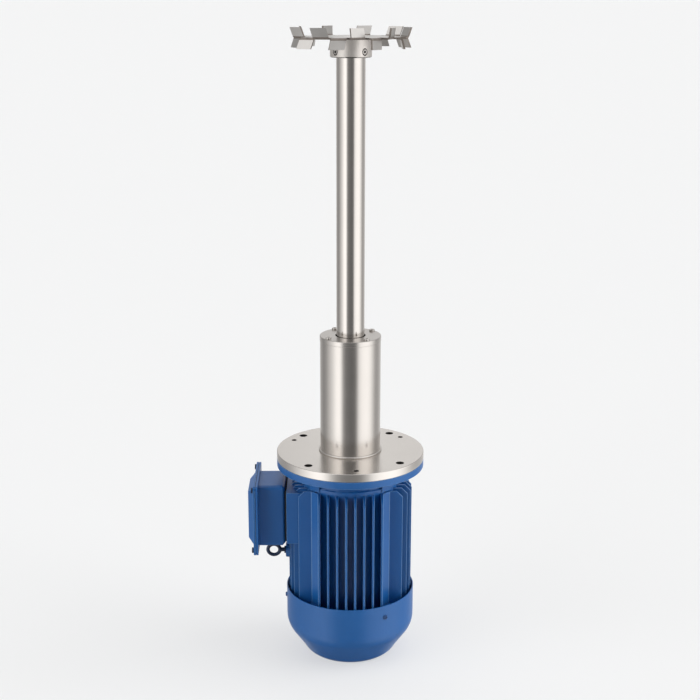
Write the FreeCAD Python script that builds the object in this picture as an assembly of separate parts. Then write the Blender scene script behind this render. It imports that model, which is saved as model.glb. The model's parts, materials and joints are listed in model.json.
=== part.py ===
import FreeCAD, Part
import math
import os

V = FreeCAD.Vector
os.makedirs("parts", exist_ok=True)

# High shear homogenizer mixer, stood on its motor with the dispersing disc up.
# Millimetres, +Z up along the spindle. The origin is on the spindle axis, at the
# flat end of the fan cover. Angles are seen from above, from +X towards +Y.

# Clearances
fit_gap = 0.03          # turned fits between pieces of one body
bolt_gap = 0.3          # round a screw in a clearance hole
running_gap = 0.05      # lip seal round the shaft
ring_gap = 0.3          # between the two rings of a bearing
air_gap = 0.5           # between rotor and stator core
cover_gap = 3.0         # between the fan cover and the tips of the fins
seat_gap = 0.1          # under a screw head that sits on a curved sheet
past = 1.0              # how far a cutting body reaches past what it cuts

# Heights of the stack, from the floor up
cover_height = 119.4    # fan cover
housing_bottom = 106.0  # lower end face of the finned housing
housing_length = 208.0
shield_step = 7.0       # ring of the drive endshield on the housing
neck_length = 20.5
rim_thickness = 12.0
plate_thickness = 14.0  # stainless mounting flange
tube_length = 192.8
cap_thickness = 8.4
free_shaft = 452.3      # bare spindle from the cap to the hub
hub_length = 28.9
disc_thickness = 3.0

z_shield = housing_bottom + housing_length
z_neck = z_shield + shield_step
z_rim = z_neck + neck_length
z_joint = z_rim + rim_thickness
z_plate = z_joint + plate_thickness
z_tube = z_plate + tube_length
z_cap = z_tube + cap_thickness
z_hub = z_cap + free_shaft
z_disc = z_hub + hub_length
z_top = z_disc + disc_thickness

# Fan cover, a drawn steel cup
cover_sheet = 1.5
cover_flat_radius = 61.5    # flat end that the mixer stands on
cover_edge_radius = 22.5    # rounding of the flat end
cover_kink_height = 14.0
cover_cone_slope = 0.708    # radius gained per height
cover_shoulder_radius = 40.0
grille_hub_radius = 20.0
grille_slot_width = 6.0
grille_pitch = 11.0
grille_rings = 4
grille_spokes = 4
grille_spoke_width = 8.0
grille_spoke_first = 45.0
cover_screw_drop = 7.0      # below the lower end of the housing
cover_screw_first = 62.0
cover_screw_count = 3
cover_screw_radius = 2.5
cover_screw_head_radius = 4.6
cover_screw_face_radius = 2.8
cover_screw_head_height = 2.6
cover_screw_bite = 12.0
head_slot_width = 1.2        # slots and crosses in screw heads
head_slot_depth = 1.4

# Finned stator housing
barrel_radius = 82.0
barrel_wall = 9.0
fin_envelope = 106.0        # reach of the middle fins
fin_fall = 0.0065           # the others reach less, by this times the square of their place
fin_pitch = 15.0
fins_per_side = 8
fin_tip_thickness = 3.6
fin_root_thickness = 5.2
fin_top_step = 3.0          # top of the fins below the end face
fin_top_slope = 10.0        # width and height of their sloped outer corner
fin_foot = 6.0              # depth of a fin's foot in the barrel
corner_step = 3.35          # slanted corner face outside the barrel
tie_bolt_radius = 3.0
tie_bolt_bite = 10.0        # thread in the drive endshield
tie_bolt_flats = 10.0
tie_bolt_head_height = 4.0

# Endshields
register_depth = 5.0
register_wall = 6.0
rear_shield_step = 2.0      # inside the tips of the fins
rear_shield_thickness = 12.0
rear_lug_width = 24.0
rear_boss_wall = 9.0        # round the bearing
shaft_clearance = 1.0       # round the shaft where it leaves an endshield
neck_step = 2.0             # neck inside the barrel
shield_ring_step = 2.0      # ring outside the barrel
neck_gusset = 5.0           # sloped corner under the rim
shield_ring_bevel = 1.5
flange_radius = 125.0
spigot_inset = 35.0         # from the edge of the flange
spigot_height = 4.0
spigot_gap = 0.2            # above the spigot
shield_boss_wall = 13.0     # between the bearing and the cavity
shield_cavity_wall = 1.0    # between the cavity and the inside of the register
shield_cavity_depth = 24.0
bearing_wall = 5.0

# Motor bearings and shaft
bearing_bore_radius = 15.0
bearing_outer_radius = 31.0
bearing_width = 16.0
bearing_ring_split = 23.0
rear_bearing_drop = 14.0    # below the lower end of the housing
drive_bearing_step = 2.0    # above the upper end of the housing
rotor_seat_radius = 17.5
fan_seat_radius = 13.0
shaft_end = 6.0             # below the fan
shaft_chamfer = 1.0
seat_start = 3.0            # bearing seat below the rear endshield
output_radius = 14.0
output_length = 60.0
key_width = 8.0
key_length = 45.0
key_depth = 4.0
key_proud = 3.0
key_start = 8.0             # above the face of the painted flange
key_gap = 0.3               # over the key in its keyway

# Stator and rotor packets
core_length = 124.0
rotor_radius = 52.0
end_ring_height = 10.0
end_ring_width = 18.0
end_ring_step = 1.5         # inside the rotor's surface
winding_height = 20.0
winding_rotor_gap = 5.0
winding_wall_gap = 4.0

# Cooling fan
fan_gap = 9.0               # under the rear endshield
fan_blade_height = 34.0
fan_tip_gap = 24.5          # inside the fan cover
fan_hub_radius = 26.0
fan_plate_thickness = 3.0
fan_blade_thickness = 2.5
fan_blade_count = 8
fan_relief_start = 10.0     # lower edge of a blade slopes up from here
fan_relief_height = 9.0
clip_width = 1.5
clip_reach = 3.0
clip_groove = 1.0
clip_opening = 5.0

# Terminal box, on the side of -X
box_drop = 54.0             # its middle below the upper end of the housing
pad_half_width = 50.0
pad_half_height = 46.0
pad_face = 108.3            # distance of the machined pad from the axis
box_gasket = 1.5
neck_half_width = 34.0
neck_half_height = 36.0
box_back = 111.0
box_front = 156.0
box_half_width = 41.0
box_half_height = 54.6
box_wall = 4.0
box_corner_radius = 7.0
box_back_bevel = 4.9
lid_gasket = 0.8
lid_gasket_inset = 1.0
lid_thickness = 3.4
flange_sheet = 3.4          # flange of the box under the lid
lid_half_width = 65.0
lid_half_height = 62.0
lid_corner_radius = 6.0
dome_depth = 10.4
dome_base_half_width = 44.1
dome_base_half_height = 51.6
dome_face_half_width = 29.3
dome_face_half_height = 42.3
dome_wall = 3.0
lid_screw_inset = 8.0
lid_screw_radius = 2.5
lid_screw_head_radius = 4.8
lid_screw_head_height = 3.4
cable_window_half = 14.0
box_screw_offset = 27.0     # above and below the middle
box_screw_bite = 10.0
board_place = -27.0         # along Y
board_half_width = 9.0
board_half_height = 26.0
board_thickness = 8.0
stud_radius = 2.5
stud_height = 9.0
stud_pitch = 16.0

# Cable entries on the side of +Y
entry_spacing = 44.0
entry_radius = 12.5
gland_hex = 32.0            # across the flats
gland_hex_height = 8.0
gland_body_length = 16.0
gland_nut_length = 18.0
gland_nut_hex = 30.0
gland_nut_gap = 0.5
gland_nut_draft = 7.5       # narrowing over its length
gland_nut_corner = 4.0      # start of the narrowing outside the corners
gland_cable_radius = 7.0
gland_seal_wall = 1.5
gland_seal_height = 8.0
gland_seal_squeeze = 1.0
thread_end = 3.0            # past the wall
plug_flange_radius = 16.0
plug_flange_height = 5.0
plug_socket_flats = 8.0
plug_socket_depth = 3.5

# Eye bolt below the terminal box
eye_drop = 15.9             # ring centre below the lid's lower edge
eye_place = 132.7           # ring centre from the axis
eye_ring_radius = 10.7
eye_section_radius = 2.9
eye_shank_radius = 4.0
eye_boss_face = 111.6
eye_boss_radius = 12.5
eye_thread = 14.0
eye_collar_radius = 6.5

# Mounting flange
hole_inset = 17.5           # hole circle inside the edge of the flange
through_hole_radius = 6.75
through_hole_count = 4
through_hole_first = 49.5
rim_hole_radius = 7.5       # of the same bolts in the painted flange
tapped_hole_radius = 4.3
tapped_hole_count = 3
tapped_hole_first = 34.7
screw_head_radius = 8.5     # countersunk heads under the painted flange
screw_head_height = 5.0
screw_socket_flats = 6.0
screw_socket_depth = 3.5
screw_bite = 9.0
plate_edge = 0.8            # broken edge of the plate

# Housing tube, carrier and cap
tube_radius = 50.9
tube_wall = 3.0
weld_leg = 3.6
carrier_length = 30.0
guide_bearing_width = 16.0
guide_bearing_wall = 10.4   # carrier round the bearing
guide_bearing_step = 0.85   # shoulder of the spindle on the bearing
carrier_lip = 4.5           # under the bearing
cap_step = 0.4              # cap outside the tube
cap_edge = 0.8
cap_bore_gap = 1.85         # round the spindle
cap_lip = 2.0
seal_width = 8.65           # from the spindle outwards
seal_gap = 0.5
cap_screw_inset = 5.9       # from the tube's surface
cap_screw_first = 35.8
cap_screw_count = 4
cap_screw_radius = 2.5
cap_screw_head_radius = 4.6
cap_screw_head_height = 3.0
cap_screw_head_edge = 0.7
cap_screw_socket_flats = 4.0
cap_screw_socket_depth = 2.0
cap_screw_bite = 12.0
cap_screw_end_gap = 2.0

# Spindle and hub
spindle_radius = 23.35
spindle_foot = 4.5          # above the top of the mounting flange
spindle_socket_spare = 4.0
spindle_foot_edge = 1.0
coupling_screw_height = 20.0
coupling_screw_radius = 4.0
coupling_screw_inset = 1.5
set_screw_socket_flats = 4.0
set_screw_socket_depth = 4.0
hub_radius = 33.2
hub_edge = 1.6              # broken lower edge
hub_screw_height = 9.0
hub_screw_radius = 4.0
hub_screw_angles = (221.1, 311.1)
hub_screw_length = 7.0
disc_hole_radius = 15.0

# Toothed dispersing disc
tooth_pairs = 9
tooth_first = 37.2          # first upright tooth
tooth_root_radius = 84.9    # middle of a tooth's root
tooth_turn = 26.2           # tooth plate turned from the tangent
tooth_width = 24.6
tooth_height = 14.6         # above the face of the disc
tooth_lean = 13.0           # outwards from upright
tooth_skew = 5.0            # tip moved along the plate
bend_radius = 2.0           # inside the bend
slot_depth = 5.0            # relief cut behind the roots

# Places that follow from the sizes above
cover_radius = fin_envelope + cover_gap + cover_sheet
cover_screw_height = housing_bottom - cover_screw_drop
bore_radius = barrel_radius - barrel_wall
outer_fin = (fins_per_side - 1) / 2 * fin_pitch
corner_face = barrel_radius + corner_step
corner_edge = corner_face * math.sqrt(2) - outer_fin
tie_bolt_place = (bore_radius + corner_face) / 2 / math.sqrt(2)
rear_shield_radius = fin_envelope - rear_shield_step
rear_boss_radius = bearing_outer_radius + rear_boss_wall
rear_bearing_bottom = housing_bottom - rear_bearing_drop
rear_seat_bottom = rear_bearing_bottom - bearing_wall - seat_start
drive_bearing_bottom = z_shield + drive_bearing_step
neck_radius = barrel_radius - neck_step
shield_ring_radius = barrel_radius + shield_ring_step
shield_cavity_inner = bearing_outer_radius + shield_boss_wall
shield_cavity_outer = bore_radius - register_wall - shield_cavity_wall
spigot_radius = flange_radius - spigot_inset
hole_circle = flange_radius - hole_inset
fan_bottom = rear_bearing_bottom - bearing_wall - fan_gap - fan_blade_height
fan_radius = cover_radius - fan_tip_gap
clip_bottom = fan_bottom - clip_width
shaft_bottom = fan_bottom - shaft_end
key_bottom = z_joint + key_start
core_bottom = housing_bottom + (housing_length - core_length) / 2
winding_inner = rotor_radius + winding_rotor_gap
winding_outer = bore_radius - winding_wall_gap
box_centre = z_shield - box_drop
entry_x = -(box_front + box_back + box_wall) / 2
eye_height = box_centre - lid_half_height - eye_drop
guide_bearing_radius = tube_radius - tube_wall - guide_bearing_wall
guide_bearing_bore = spindle_radius - guide_bearing_step
guide_ring_split = (guide_bearing_radius + guide_bearing_bore) / 2
carrier_lip_radius = guide_bearing_radius - carrier_lip
seal_radius = spindle_radius + seal_width
cap_radius = tube_radius + cap_step
cap_bore_radius = spindle_radius + cap_bore_gap
cap_screw_circle = tube_radius - cap_screw_inset


def turned(shape, angle):
    """The shape turned about the spindle axis."""
    copy = shape.copy()
    copy.rotate(V(0, 0, 0), V(0, 0, 1), angle)
    return copy


def polar(radius, angle, z=0.0):
    a = math.radians(angle)
    return V(radius * math.cos(a), radius * math.sin(a), z)


def cylinder(radius, z0, z1, place=V(0, 0, 0)):
    return Part.makeCylinder(radius, z1 - z0, V(place.x, place.y, z0))


def ring(outer, inner, z0, z1):
    return cylinder(outer, z0, z1).cut(cylinder(inner, z0, z1))


def block(x0, x1, y0, y1, z0, z1):
    return Part.makeBox(x1 - x0, y1 - y0, z1 - z0, V(x0, y0, z0))


def revolved(edges):
    """A closed outline in the plane of X and Z, turned about the axis."""
    return Part.Face(Part.Wire(edges)).revolve(V(0, 0, 0), V(0, 0, 1), 360)


def line(a, b):
    return Part.LineSegment(V(a[0], 0, a[1]), V(b[0], 0, b[1])).toShape()


def arc(a, middle, b):
    return Part.Arc(V(a[0], 0, a[1]), V(middle[0], 0, middle[1]), V(b[0], 0, b[1])).toShape()


def outline(points):
    return [line(a, b) for a, b in zip(points, points[1:] + points[:1])]


def prism(points, direction):
    """A closed flat outline of vectors, extruded."""
    return Part.Face(Part.makePolygon(points + points[:1])).extrude(direction)


def hexagon(flats, z0, z1):
    corner = flats / math.sqrt(3)
    return prism([polar(corner, 60 * k, z0) for k in range(6)], V(0, 0, z1 - z0))


def along(shape, place, direction):
    """A shape made along +Z, set at a place and turned to a direction."""
    copy = shape.copy()
    copy.Placement = FreeCAD.Placement(place, FreeCAD.Rotation(V(0, 0, 1), direction))
    return copy


def rounded_block(x0, x1, half_width, half_height, radius):
    """A block lying along X round the middle of the terminal box, its long edges rounded."""
    body = block(x0, x1, -half_width, half_width, box_centre - half_height, box_centre + half_height)
    long_edges = [e for e in body.Edges if abs(e.tangentAt(e.FirstParameter).x) > 0.9]
    return body.makeFillet(radius, long_edges)


def save(name, shape):
    shape.exportStep("parts/" + name + ".step")
    print(name, "solids", len(shape.Solids), "valid", shape.isValid(), "volume", round(shape.Volume))


# Fan cover

def cover_outline(inset):
    """Points and arcs of the cover's half section, moved inwards by inset."""
    edge = cover_edge_radius - inset
    edge_centre = (cover_flat_radius, cover_edge_radius)
    slope = math.atan(cover_cone_slope)
    kink_angle = math.asin((cover_edge_radius - cover_kink_height) / cover_edge_radius)
    kink = (edge_centre[0] + edge * math.cos(kink_angle), edge_centre[1] - edge * math.sin(kink_angle))
    halfway = (math.pi / 2 + kink_angle) / 2
    edge_middle = (edge_centre[0] + edge * math.cos(halfway), edge_centre[1] - edge * math.sin(halfway))
    outer_kink_radius = edge_centre[0] + cover_edge_radius * math.cos(kink_angle)
    shoulder = cover_shoulder_radius - inset
    centre_r = cover_radius - cover_shoulder_radius
    cone_end_r = centre_r + cover_shoulder_radius * math.cos(slope)
    cone_end_z = cover_kink_height + (cone_end_r - outer_kink_radius) / cover_cone_slope
    centre_z = cone_end_z + cover_shoulder_radius * math.sin(slope)
    cone_end = (centre_r + shoulder * math.cos(slope), centre_z - shoulder * math.sin(slope))
    shoulder_middle = (centre_r + shoulder * math.cos(slope / 2), centre_z - shoulder * math.sin(slope / 2))
    shoulder_top = (cover_radius - inset, centre_z)
    rim = (cover_radius - inset, cover_height)
    flat = (cover_flat_radius, inset)
    return flat, edge_middle, kink, cone_end, shoulder_middle, shoulder_top, rim


def cover_cup(inset):
    flat, edge_middle, kink, cone_end, shoulder_middle, shoulder_top, rim = cover_outline(inset)
    edges = [
        line((0, inset), flat),
        arc(flat, edge_middle, kink),
        line(kink, cone_end),
        arc(cone_end, shoulder_middle, shoulder_top),
        line(shoulder_top, rim),
        line(rim, (0, rim[1])),
        line((0, rim[1]), (0, inset)),
    ]
    return revolved(edges)


def grille_cut():
    """Concentric slots in the flat end, parted by spokes."""
    rings = []
    for k in range(grille_rings):
        inner = grille_hub_radius + k * grille_pitch
        rings.append(ring(inner + grille_slot_width, inner, -past, cover_sheet + past))
    slots = rings[0].multiFuse(rings[1:])
    reach = cover_flat_radius
    spokes = []
    for k in range(grille_spokes // 2):
        spoke = block(-reach, reach, -grille_spoke_width / 2, grille_spoke_width / 2, -2 * past,
                      cover_sheet + 2 * past)
        spokes.append(turned(spoke, grille_spoke_first + 360 / grille_spokes * k))
    return slots.cut(spokes[0].multiFuse(spokes[1:]))


def cover_screw_hole(radius):
    start = V(cover_radius - cover_sheet - 2 * past, 0, cover_screw_height)
    return Part.makeCylinder(radius, cover_sheet + 4 * past, start, V(1, 0, 0))


def fan_cover():
    cup = cover_cup(0).cut(cover_cup(cover_sheet)).cut(grille_cut())
    for k in range(cover_screw_count):
        cup = cup.cut(turned(cover_screw_hole(cover_screw_radius + bolt_gap), cover_screw_angle(k)))
    return cup


def cover_screw_angle(k):
    return cover_screw_first + 360 / cover_screw_count * k


def cover_screw(k):
    """A raised screw with a cross recess, lying along X before it is turned."""
    base = V(cover_radius - cover_sheet - cover_screw_bite, 0, cover_screw_height)
    length = cover_screw_bite + cover_sheet + seat_gap + cover_screw_head_height / 2
    shank = Part.makeCylinder(cover_screw_radius, length, base, V(1, 0, 0))
    head_place = V(cover_radius + seat_gap, 0, cover_screw_height)
    head = Part.makeCone(cover_screw_head_radius, cover_screw_face_radius, cover_screw_head_height,
                         head_place, V(1, 0, 0))
    floor = head_place + V(cover_screw_head_height - head_slot_depth, 0, 0)
    slot = Part.makeBox(head_slot_depth + past, 2 * cover_screw_face_radius, head_slot_width)
    slot.translate(floor - V(0, cover_screw_face_radius, head_slot_width / 2))
    cross = slot.fuse(slot.rotated(floor, V(1, 0, 0), 90))
    return turned(shank.fuse(head).cut(cross), cover_screw_angle(k))


# Stator housing

def quarter(shape):
    """Four copies of a shape, one on each side of the axis."""
    copies = [turned(shape, 90 * k) for k in range(4)]
    return copies[0].multiFuse(copies[1:])


def corner_block(z0, z1):
    """Solid corner between the outer fins of two sides, with a slanted face."""
    places = [(outer_fin, outer_fin), (corner_edge, outer_fin), (outer_fin, corner_edge)]
    points = [V(x, y, z0) for x, y in places]
    return prism(points, V(0, 0, z1 - z0))


def fin(offset):
    """One upright fin of the side of -Y, with draft from root to tip and a sloped outer corner."""
    tip = -fin_envelope + fin_fall * offset ** 2
    root = -math.sqrt(barrel_radius ** 2 - offset ** 2) + fin_foot
    points = [V(offset - fin_root_thickness / 2, root, housing_bottom),
              V(offset - fin_tip_thickness / 2, tip, housing_bottom),
              V(offset + fin_tip_thickness / 2, tip, housing_bottom),
              V(offset + fin_root_thickness / 2, root, housing_bottom)]
    top = z_shield - fin_top_step
    body = prism(points, V(0, 0, top - housing_bottom))
    wedge = [V(-fin_envelope, tip - past, top - fin_top_slope - past),
             V(-fin_envelope, tip + fin_top_slope + past, top + past), V(-fin_envelope, tip - past, top + past)]
    return body.cut(prism(wedge, V(2 * fin_envelope, 0, 0)))


def tie_bolt_places():
    return [V(sx * tie_bolt_place, sy * tie_bolt_place, 0) for sx, sy in ((1, 1), (-1, 1), (-1, -1), (1, -1))]


def stator_housing():
    fins = [fin(k * fin_pitch - outer_fin) for k in range(fins_per_side)]
    side = fins[0].multiFuse(fins[1:])
    pad = block(-pad_face, -outer_fin, -pad_half_width, pad_half_width, box_centre - pad_half_height,
                box_centre + pad_half_height)
    boss_foot = bore_radius + barrel_wall / 2
    boss = Part.makeCylinder(eye_boss_radius, eye_boss_face - boss_foot, V(-boss_foot, 0, eye_height), V(-1, 0, 0))
    body = cylinder(barrel_radius, housing_bottom, z_shield)
    body = body.multiFuse([quarter(side), quarter(corner_block(housing_bottom, z_shield - fin_top_step)), pad, boss])
    holes = [cylinder(bore_radius, housing_bottom, z_shield)]
    holes.append(block(-fin_envelope - pad_face, -pad_face, -pad_half_width, pad_half_width,
                       box_centre - pad_half_height, box_centre + pad_half_height))
    holes.append(block(-pad_face, -bore_radius + past, -cable_window_half, cable_window_half,
                       box_centre - cable_window_half, box_centre + cable_window_half))
    eye_foot = V(-eye_boss_face, 0, eye_height)
    holes.append(Part.makeCylinder(eye_shank_radius, eye_thread, eye_foot, V(1, 0, 0)))
    for place in tie_bolt_places():
        holes.append(cylinder(tie_bolt_radius + bolt_gap, housing_bottom, z_shield, place))
    for z in box_screw_heights():
        holes.append(Part.makeCylinder(lid_screw_radius, box_screw_bite, V(-pad_face, 0, z), V(1, 0, 0)))
    return body.cut(holes[0].multiFuse(holes[1:])).removeSplitter()


def tie_bolt(place):
    """Hexagon screw from the rear endshield through the housing into the drive endshield."""
    seat = housing_bottom - rear_shield_thickness
    head = hexagon(tie_bolt_flats, seat - tie_bolt_head_height, seat)
    head.translate(place)
    return head.fuse(cylinder(tie_bolt_radius, seat, z_shield + tie_bolt_bite, place))


# Endshields

def register_ring(z0, z1):
    outer = bore_radius - fit_gap
    return ring(outer, outer - register_wall, z0, z1)


def rear_endshield():
    base = housing_bottom - rear_shield_thickness
    boss_bottom = rear_bearing_bottom - bearing_wall
    boss_top = rear_bearing_bottom + bearing_width
    lug_reach = cover_radius - cover_sheet
    body = cylinder(rear_shield_radius, base, housing_bottom)
    lug = block(0, lug_reach + past, -rear_lug_width / 2, rear_lug_width / 2, base, housing_bottom)
    lug = lug.common(cylinder(lug_reach, base, housing_bottom))
    pieces = [turned(lug, cover_screw_angle(k)) for k in range(cover_screw_count)]
    pieces.append(cylinder(rear_boss_radius, boss_bottom, boss_top))
    pieces.append(register_ring(housing_bottom, housing_bottom + register_depth))
    body = body.multiFuse(pieces)
    holes = [cylinder(bearing_outer_radius + fit_gap, rear_bearing_bottom, boss_top)]
    holes.append(cylinder(bearing_bore_radius + shaft_clearance, boss_bottom, boss_top))
    for place in tie_bolt_places():
        holes.append(cylinder(tie_bolt_radius + bolt_gap, base, housing_bottom, place))
    for k in range(cover_screw_count):
        start = V(lug_reach - cover_screw_bite, 0, cover_screw_height)
        thread = Part.makeCylinder(cover_screw_radius, cover_screw_bite + past, start, V(1, 0, 0))
        holes.append(turned(thread, cover_screw_angle(k)))
    return body.cut(holes[0].multiFuse(holes[1:])).removeSplitter()


def drive_endshield():
    spigot_top = z_joint + spigot_height
    points = [(0, z_shield), (shield_ring_radius, z_shield), (shield_ring_radius, z_neck - shield_ring_bevel),
              (neck_radius, z_neck), (neck_radius, z_rim - neck_gusset), (neck_radius + neck_gusset, z_rim),
              (flange_radius, z_rim), (flange_radius, z_joint), (spigot_radius, z_joint),
              (spigot_radius, spigot_top), (0, spigot_top)]
    body = revolved(outline(points))
    body = body.multiFuse([quarter(corner_block(z_shield, z_rim)), register_ring(z_shield - register_depth, z_shield)])
    holes = [ring(shield_cavity_outer, shield_cavity_inner, z_shield, z_shield + shield_cavity_depth)]
    holes.append(cylinder(bearing_outer_radius + fit_gap, z_shield, drive_bearing_bottom + bearing_width))
    holes.append(cylinder(bearing_bore_radius + shaft_clearance, z_shield, spigot_top))
    for place in tie_bolt_places():
        holes.append(cylinder(tie_bolt_radius, z_shield, z_shield + tie_bolt_bite, place))
    for k in range(through_hole_count):
        holes.append(cylinder(rim_hole_radius, z_rim, z_joint, polar(hole_circle, through_hole_angle(k))))
    for k in range(tapped_hole_count):
        place = polar(hole_circle, tapped_hole_angle(k))
        holes.append(cylinder(tapped_hole_radius + bolt_gap, z_rim, z_joint, place))
        sink = Part.makeCone(screw_head_radius + bolt_gap, tapped_hole_radius + bolt_gap, screw_head_height,
                             place + V(0, 0, z_rim))
        holes.append(sink)
    return body.cut(holes[0].multiFuse(holes[1:])).removeSplitter()


def through_hole_angle(k):
    return through_hole_first + 360 / through_hole_count * k


def tapped_hole_angle(k):
    return tapped_hole_first + 360 / tapped_hole_count * k


def flange_screw(k):
    """Countersunk socket screw holding the stainless flange from below."""
    place = polar(hole_circle, tapped_hole_angle(k))
    head = Part.makeCone(screw_head_radius, tapped_hole_radius, screw_head_height, place + V(0, 0, z_rim))
    body = head.fuse(cylinder(tapped_hole_radius, z_rim, z_joint + screw_bite, place))
    socket = hexagon(screw_socket_flats, z_rim, z_rim + screw_socket_depth)
    socket.translate(place)
    return body.cut(socket)


# Motor: bearings, shaft, rotor and stator

def outer_ring(outer, split, z0, width):
    return ring(outer, split + ring_gap / 2, z0, z0 + width)


def inner_ring(bore, split, z0, width):
    return ring(split - ring_gap / 2, bore + fit_gap, z0, z0 + width)


def motor_shaft():
    z_end = z_joint + output_length
    groove = fan_seat_radius - clip_groove
    seat_top = rear_bearing_bottom + bearing_width
    points = [(0, shaft_bottom), (fan_seat_radius - shaft_chamfer, shaft_bottom),
              (fan_seat_radius, shaft_bottom + shaft_chamfer),
              (fan_seat_radius, clip_bottom), (groove, clip_bottom),
              (groove, fan_bottom), (fan_seat_radius, fan_bottom),
              (fan_seat_radius, rear_seat_bottom), (bearing_bore_radius, rear_seat_bottom),
              (bearing_bore_radius, seat_top), (rotor_seat_radius, seat_top),
              (rotor_seat_radius, drive_bearing_bottom), (bearing_bore_radius, drive_bearing_bottom),
              (bearing_bore_radius, z_joint), (output_radius, z_joint),
              (output_radius, z_end - shaft_chamfer), (output_radius - shaft_chamfer, z_end), (0, z_end)]
    body = revolved(outline(points))
    key_bed = block(output_radius - key_depth, output_radius + past, -key_width / 2, key_width / 2,
                    key_bottom, key_bottom + key_length)
    return body.cut(key_bed)


def shaft_key():
    half = key_width / 2 - fit_gap
    return block(output_radius - key_depth, output_radius + key_proud, -half, half,
                 key_bottom + fit_gap, key_bottom + key_length - fit_gap)


def rotor():
    """Lamination packet with its cast end rings."""
    core_top = core_bottom + core_length
    bore = rotor_seat_radius + fit_gap
    packet = ring(rotor_radius, bore, core_bottom, core_top)
    outer = rotor_radius - end_ring_step
    inner = outer - end_ring_width
    lower = ring(outer, inner, core_bottom - end_ring_height, core_bottom)
    upper = ring(outer, inner, core_top, core_top + end_ring_height)
    return packet.multiFuse([lower, upper])


def stator_core():
    return ring(bore_radius - fit_gap, rotor_radius + air_gap, core_bottom, core_bottom + core_length)


def winding(z0):
    return ring(winding_outer, winding_inner, z0, z0 + winding_height)


def cooling_fan():
    """Hub, back plate and straight radial blades, which throw the air outwards either way round."""
    top = fan_bottom + fan_blade_height
    plate_bottom = top - fan_plate_thickness
    body = cylinder(fan_hub_radius, fan_bottom, top)
    pieces = [cylinder(fan_radius, plate_bottom, top)]
    blade = block(fan_hub_radius - past, fan_radius, -fan_blade_thickness / 2, fan_blade_thickness / 2,
                  fan_bottom, plate_bottom)
    start = fan_hub_radius + fan_relief_start
    relief = [V(start, -fan_blade_thickness, fan_bottom), V(fan_radius, -fan_blade_thickness, fan_bottom),
              V(fan_radius, -fan_blade_thickness, fan_bottom + fan_relief_height)]
    blade = blade.cut(prism(relief, V(0, 2 * fan_blade_thickness, 0)))
    for k in range(fan_blade_count):
        pieces.append(turned(blade, 360 / fan_blade_count * k))
    body = body.multiFuse(pieces)
    return body.cut(cylinder(fan_seat_radius + fit_gap, fan_bottom, top)).removeSplitter()


def fan_clip():
    """Retaining ring in its groove below the fan, open on one side."""
    inner = fan_seat_radius - clip_groove + fit_gap
    body = ring(inner + clip_reach, inner, clip_bottom + fit_gap, fan_bottom - fit_gap)
    half = clip_opening / 2
    return body.cut(block(0, inner + clip_reach + past, -half, half, clip_bottom, fan_bottom))


# Terminal box

def box_screw_heights():
    return (box_centre - box_screw_offset, box_centre + box_screw_offset)


def box_neck(x0, x1):
    """Block under the box, hollow for the leads."""
    body = block(x0, x1, -neck_half_width, neck_half_width, box_centre - neck_half_height,
                 box_centre + neck_half_height)
    cuts = [block(x0, x1, -cable_window_half, cable_window_half, box_centre - cable_window_half,
                  box_centre + cable_window_half)]
    for z in box_screw_heights():
        cuts.append(Part.makeCylinder(lid_screw_radius + bolt_gap, x1 - x0, V(x0, 0, z), V(1, 0, 0)))
    return body.cut(cuts[0].multiFuse(cuts[1:]))


def pad_gasket():
    return box_neck(-pad_face - box_gasket, -pad_face)


def terminal_box_base():
    body = rounded_block(-box_front, -box_back, box_half_width, box_half_height, box_corner_radius)
    back = [e for e in body.Edges if abs(e.CenterOfMass.x + box_back) < 0.01 and e.Length > box_half_width]
    body = body.makeChamfer(box_back_bevel, back)
    flange = rounded_block(-box_front - flange_sheet, -box_front, lid_half_width, lid_half_height,
                           lid_corner_radius)
    body = body.fuse(flange)
    cavity = rounded_block(-box_front - flange_sheet, -box_back - box_wall, box_half_width - box_wall,
                           box_half_height - box_wall, box_corner_radius - box_wall)
    window = block(-box_back - box_wall, -box_back, -cable_window_half, cable_window_half,
                   box_centre - cable_window_half, box_centre + cable_window_half)
    cuts = [window]
    for z in box_screw_heights():
        inside = V(-box_back - box_wall, 0, z)
        cuts.append(Part.makeCylinder(lid_screw_radius + bolt_gap, box_wall, inside, V(1, 0, 0)))
    for k in range(2):
        inside = V(entry_x, box_half_width - box_wall, entry_height(k))
        cuts.append(Part.makeCylinder(entry_radius, box_wall, inside, V(0, 1, 0)))
    for place in lid_screw_places():
        face = V(-box_front - flange_sheet, 0, 0) + place
        cuts.append(Part.makeCylinder(lid_screw_radius, flange_sheet, face, V(1, 0, 0)))
    body = body.cut(cavity).cut(cuts[0].multiFuse(cuts[1:]))
    return body.fuse(box_neck(-box_back, -pad_face - box_gasket)).removeSplitter()


def entry_height(k):
    return box_centre + (k - 0.5) * entry_spacing


def lid_screw_places():
    reach_y = lid_half_width - lid_screw_inset
    reach_z = lid_half_height - lid_screw_inset
    return [V(0, sy * reach_y, box_centre + sz * reach_z) for sy, sz in ((1, 1), (-1, 1), (-1, -1), (1, -1))]


def with_lid_screw_holes(shape, x0, thickness):
    holes = [Part.makeCylinder(lid_screw_radius + bolt_gap, thickness, V(x0, 0, 0) + place, V(1, 0, 0))
             for place in lid_screw_places()]
    return shape.cut(holes[0].multiFuse(holes[1:]))


def terminal_box_gasket():
    x1 = -box_front - flange_sheet
    body = rounded_block(x1 - lid_gasket, x1, lid_half_width - lid_gasket_inset,
                         lid_half_height - lid_gasket_inset, lid_corner_radius)
    opening = rounded_block(x1 - lid_gasket, x1, box_half_width - box_wall, box_half_height - box_wall,
                            box_corner_radius - box_wall)
    return with_lid_screw_holes(body.cut(opening), x1 - lid_gasket, lid_gasket)


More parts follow.
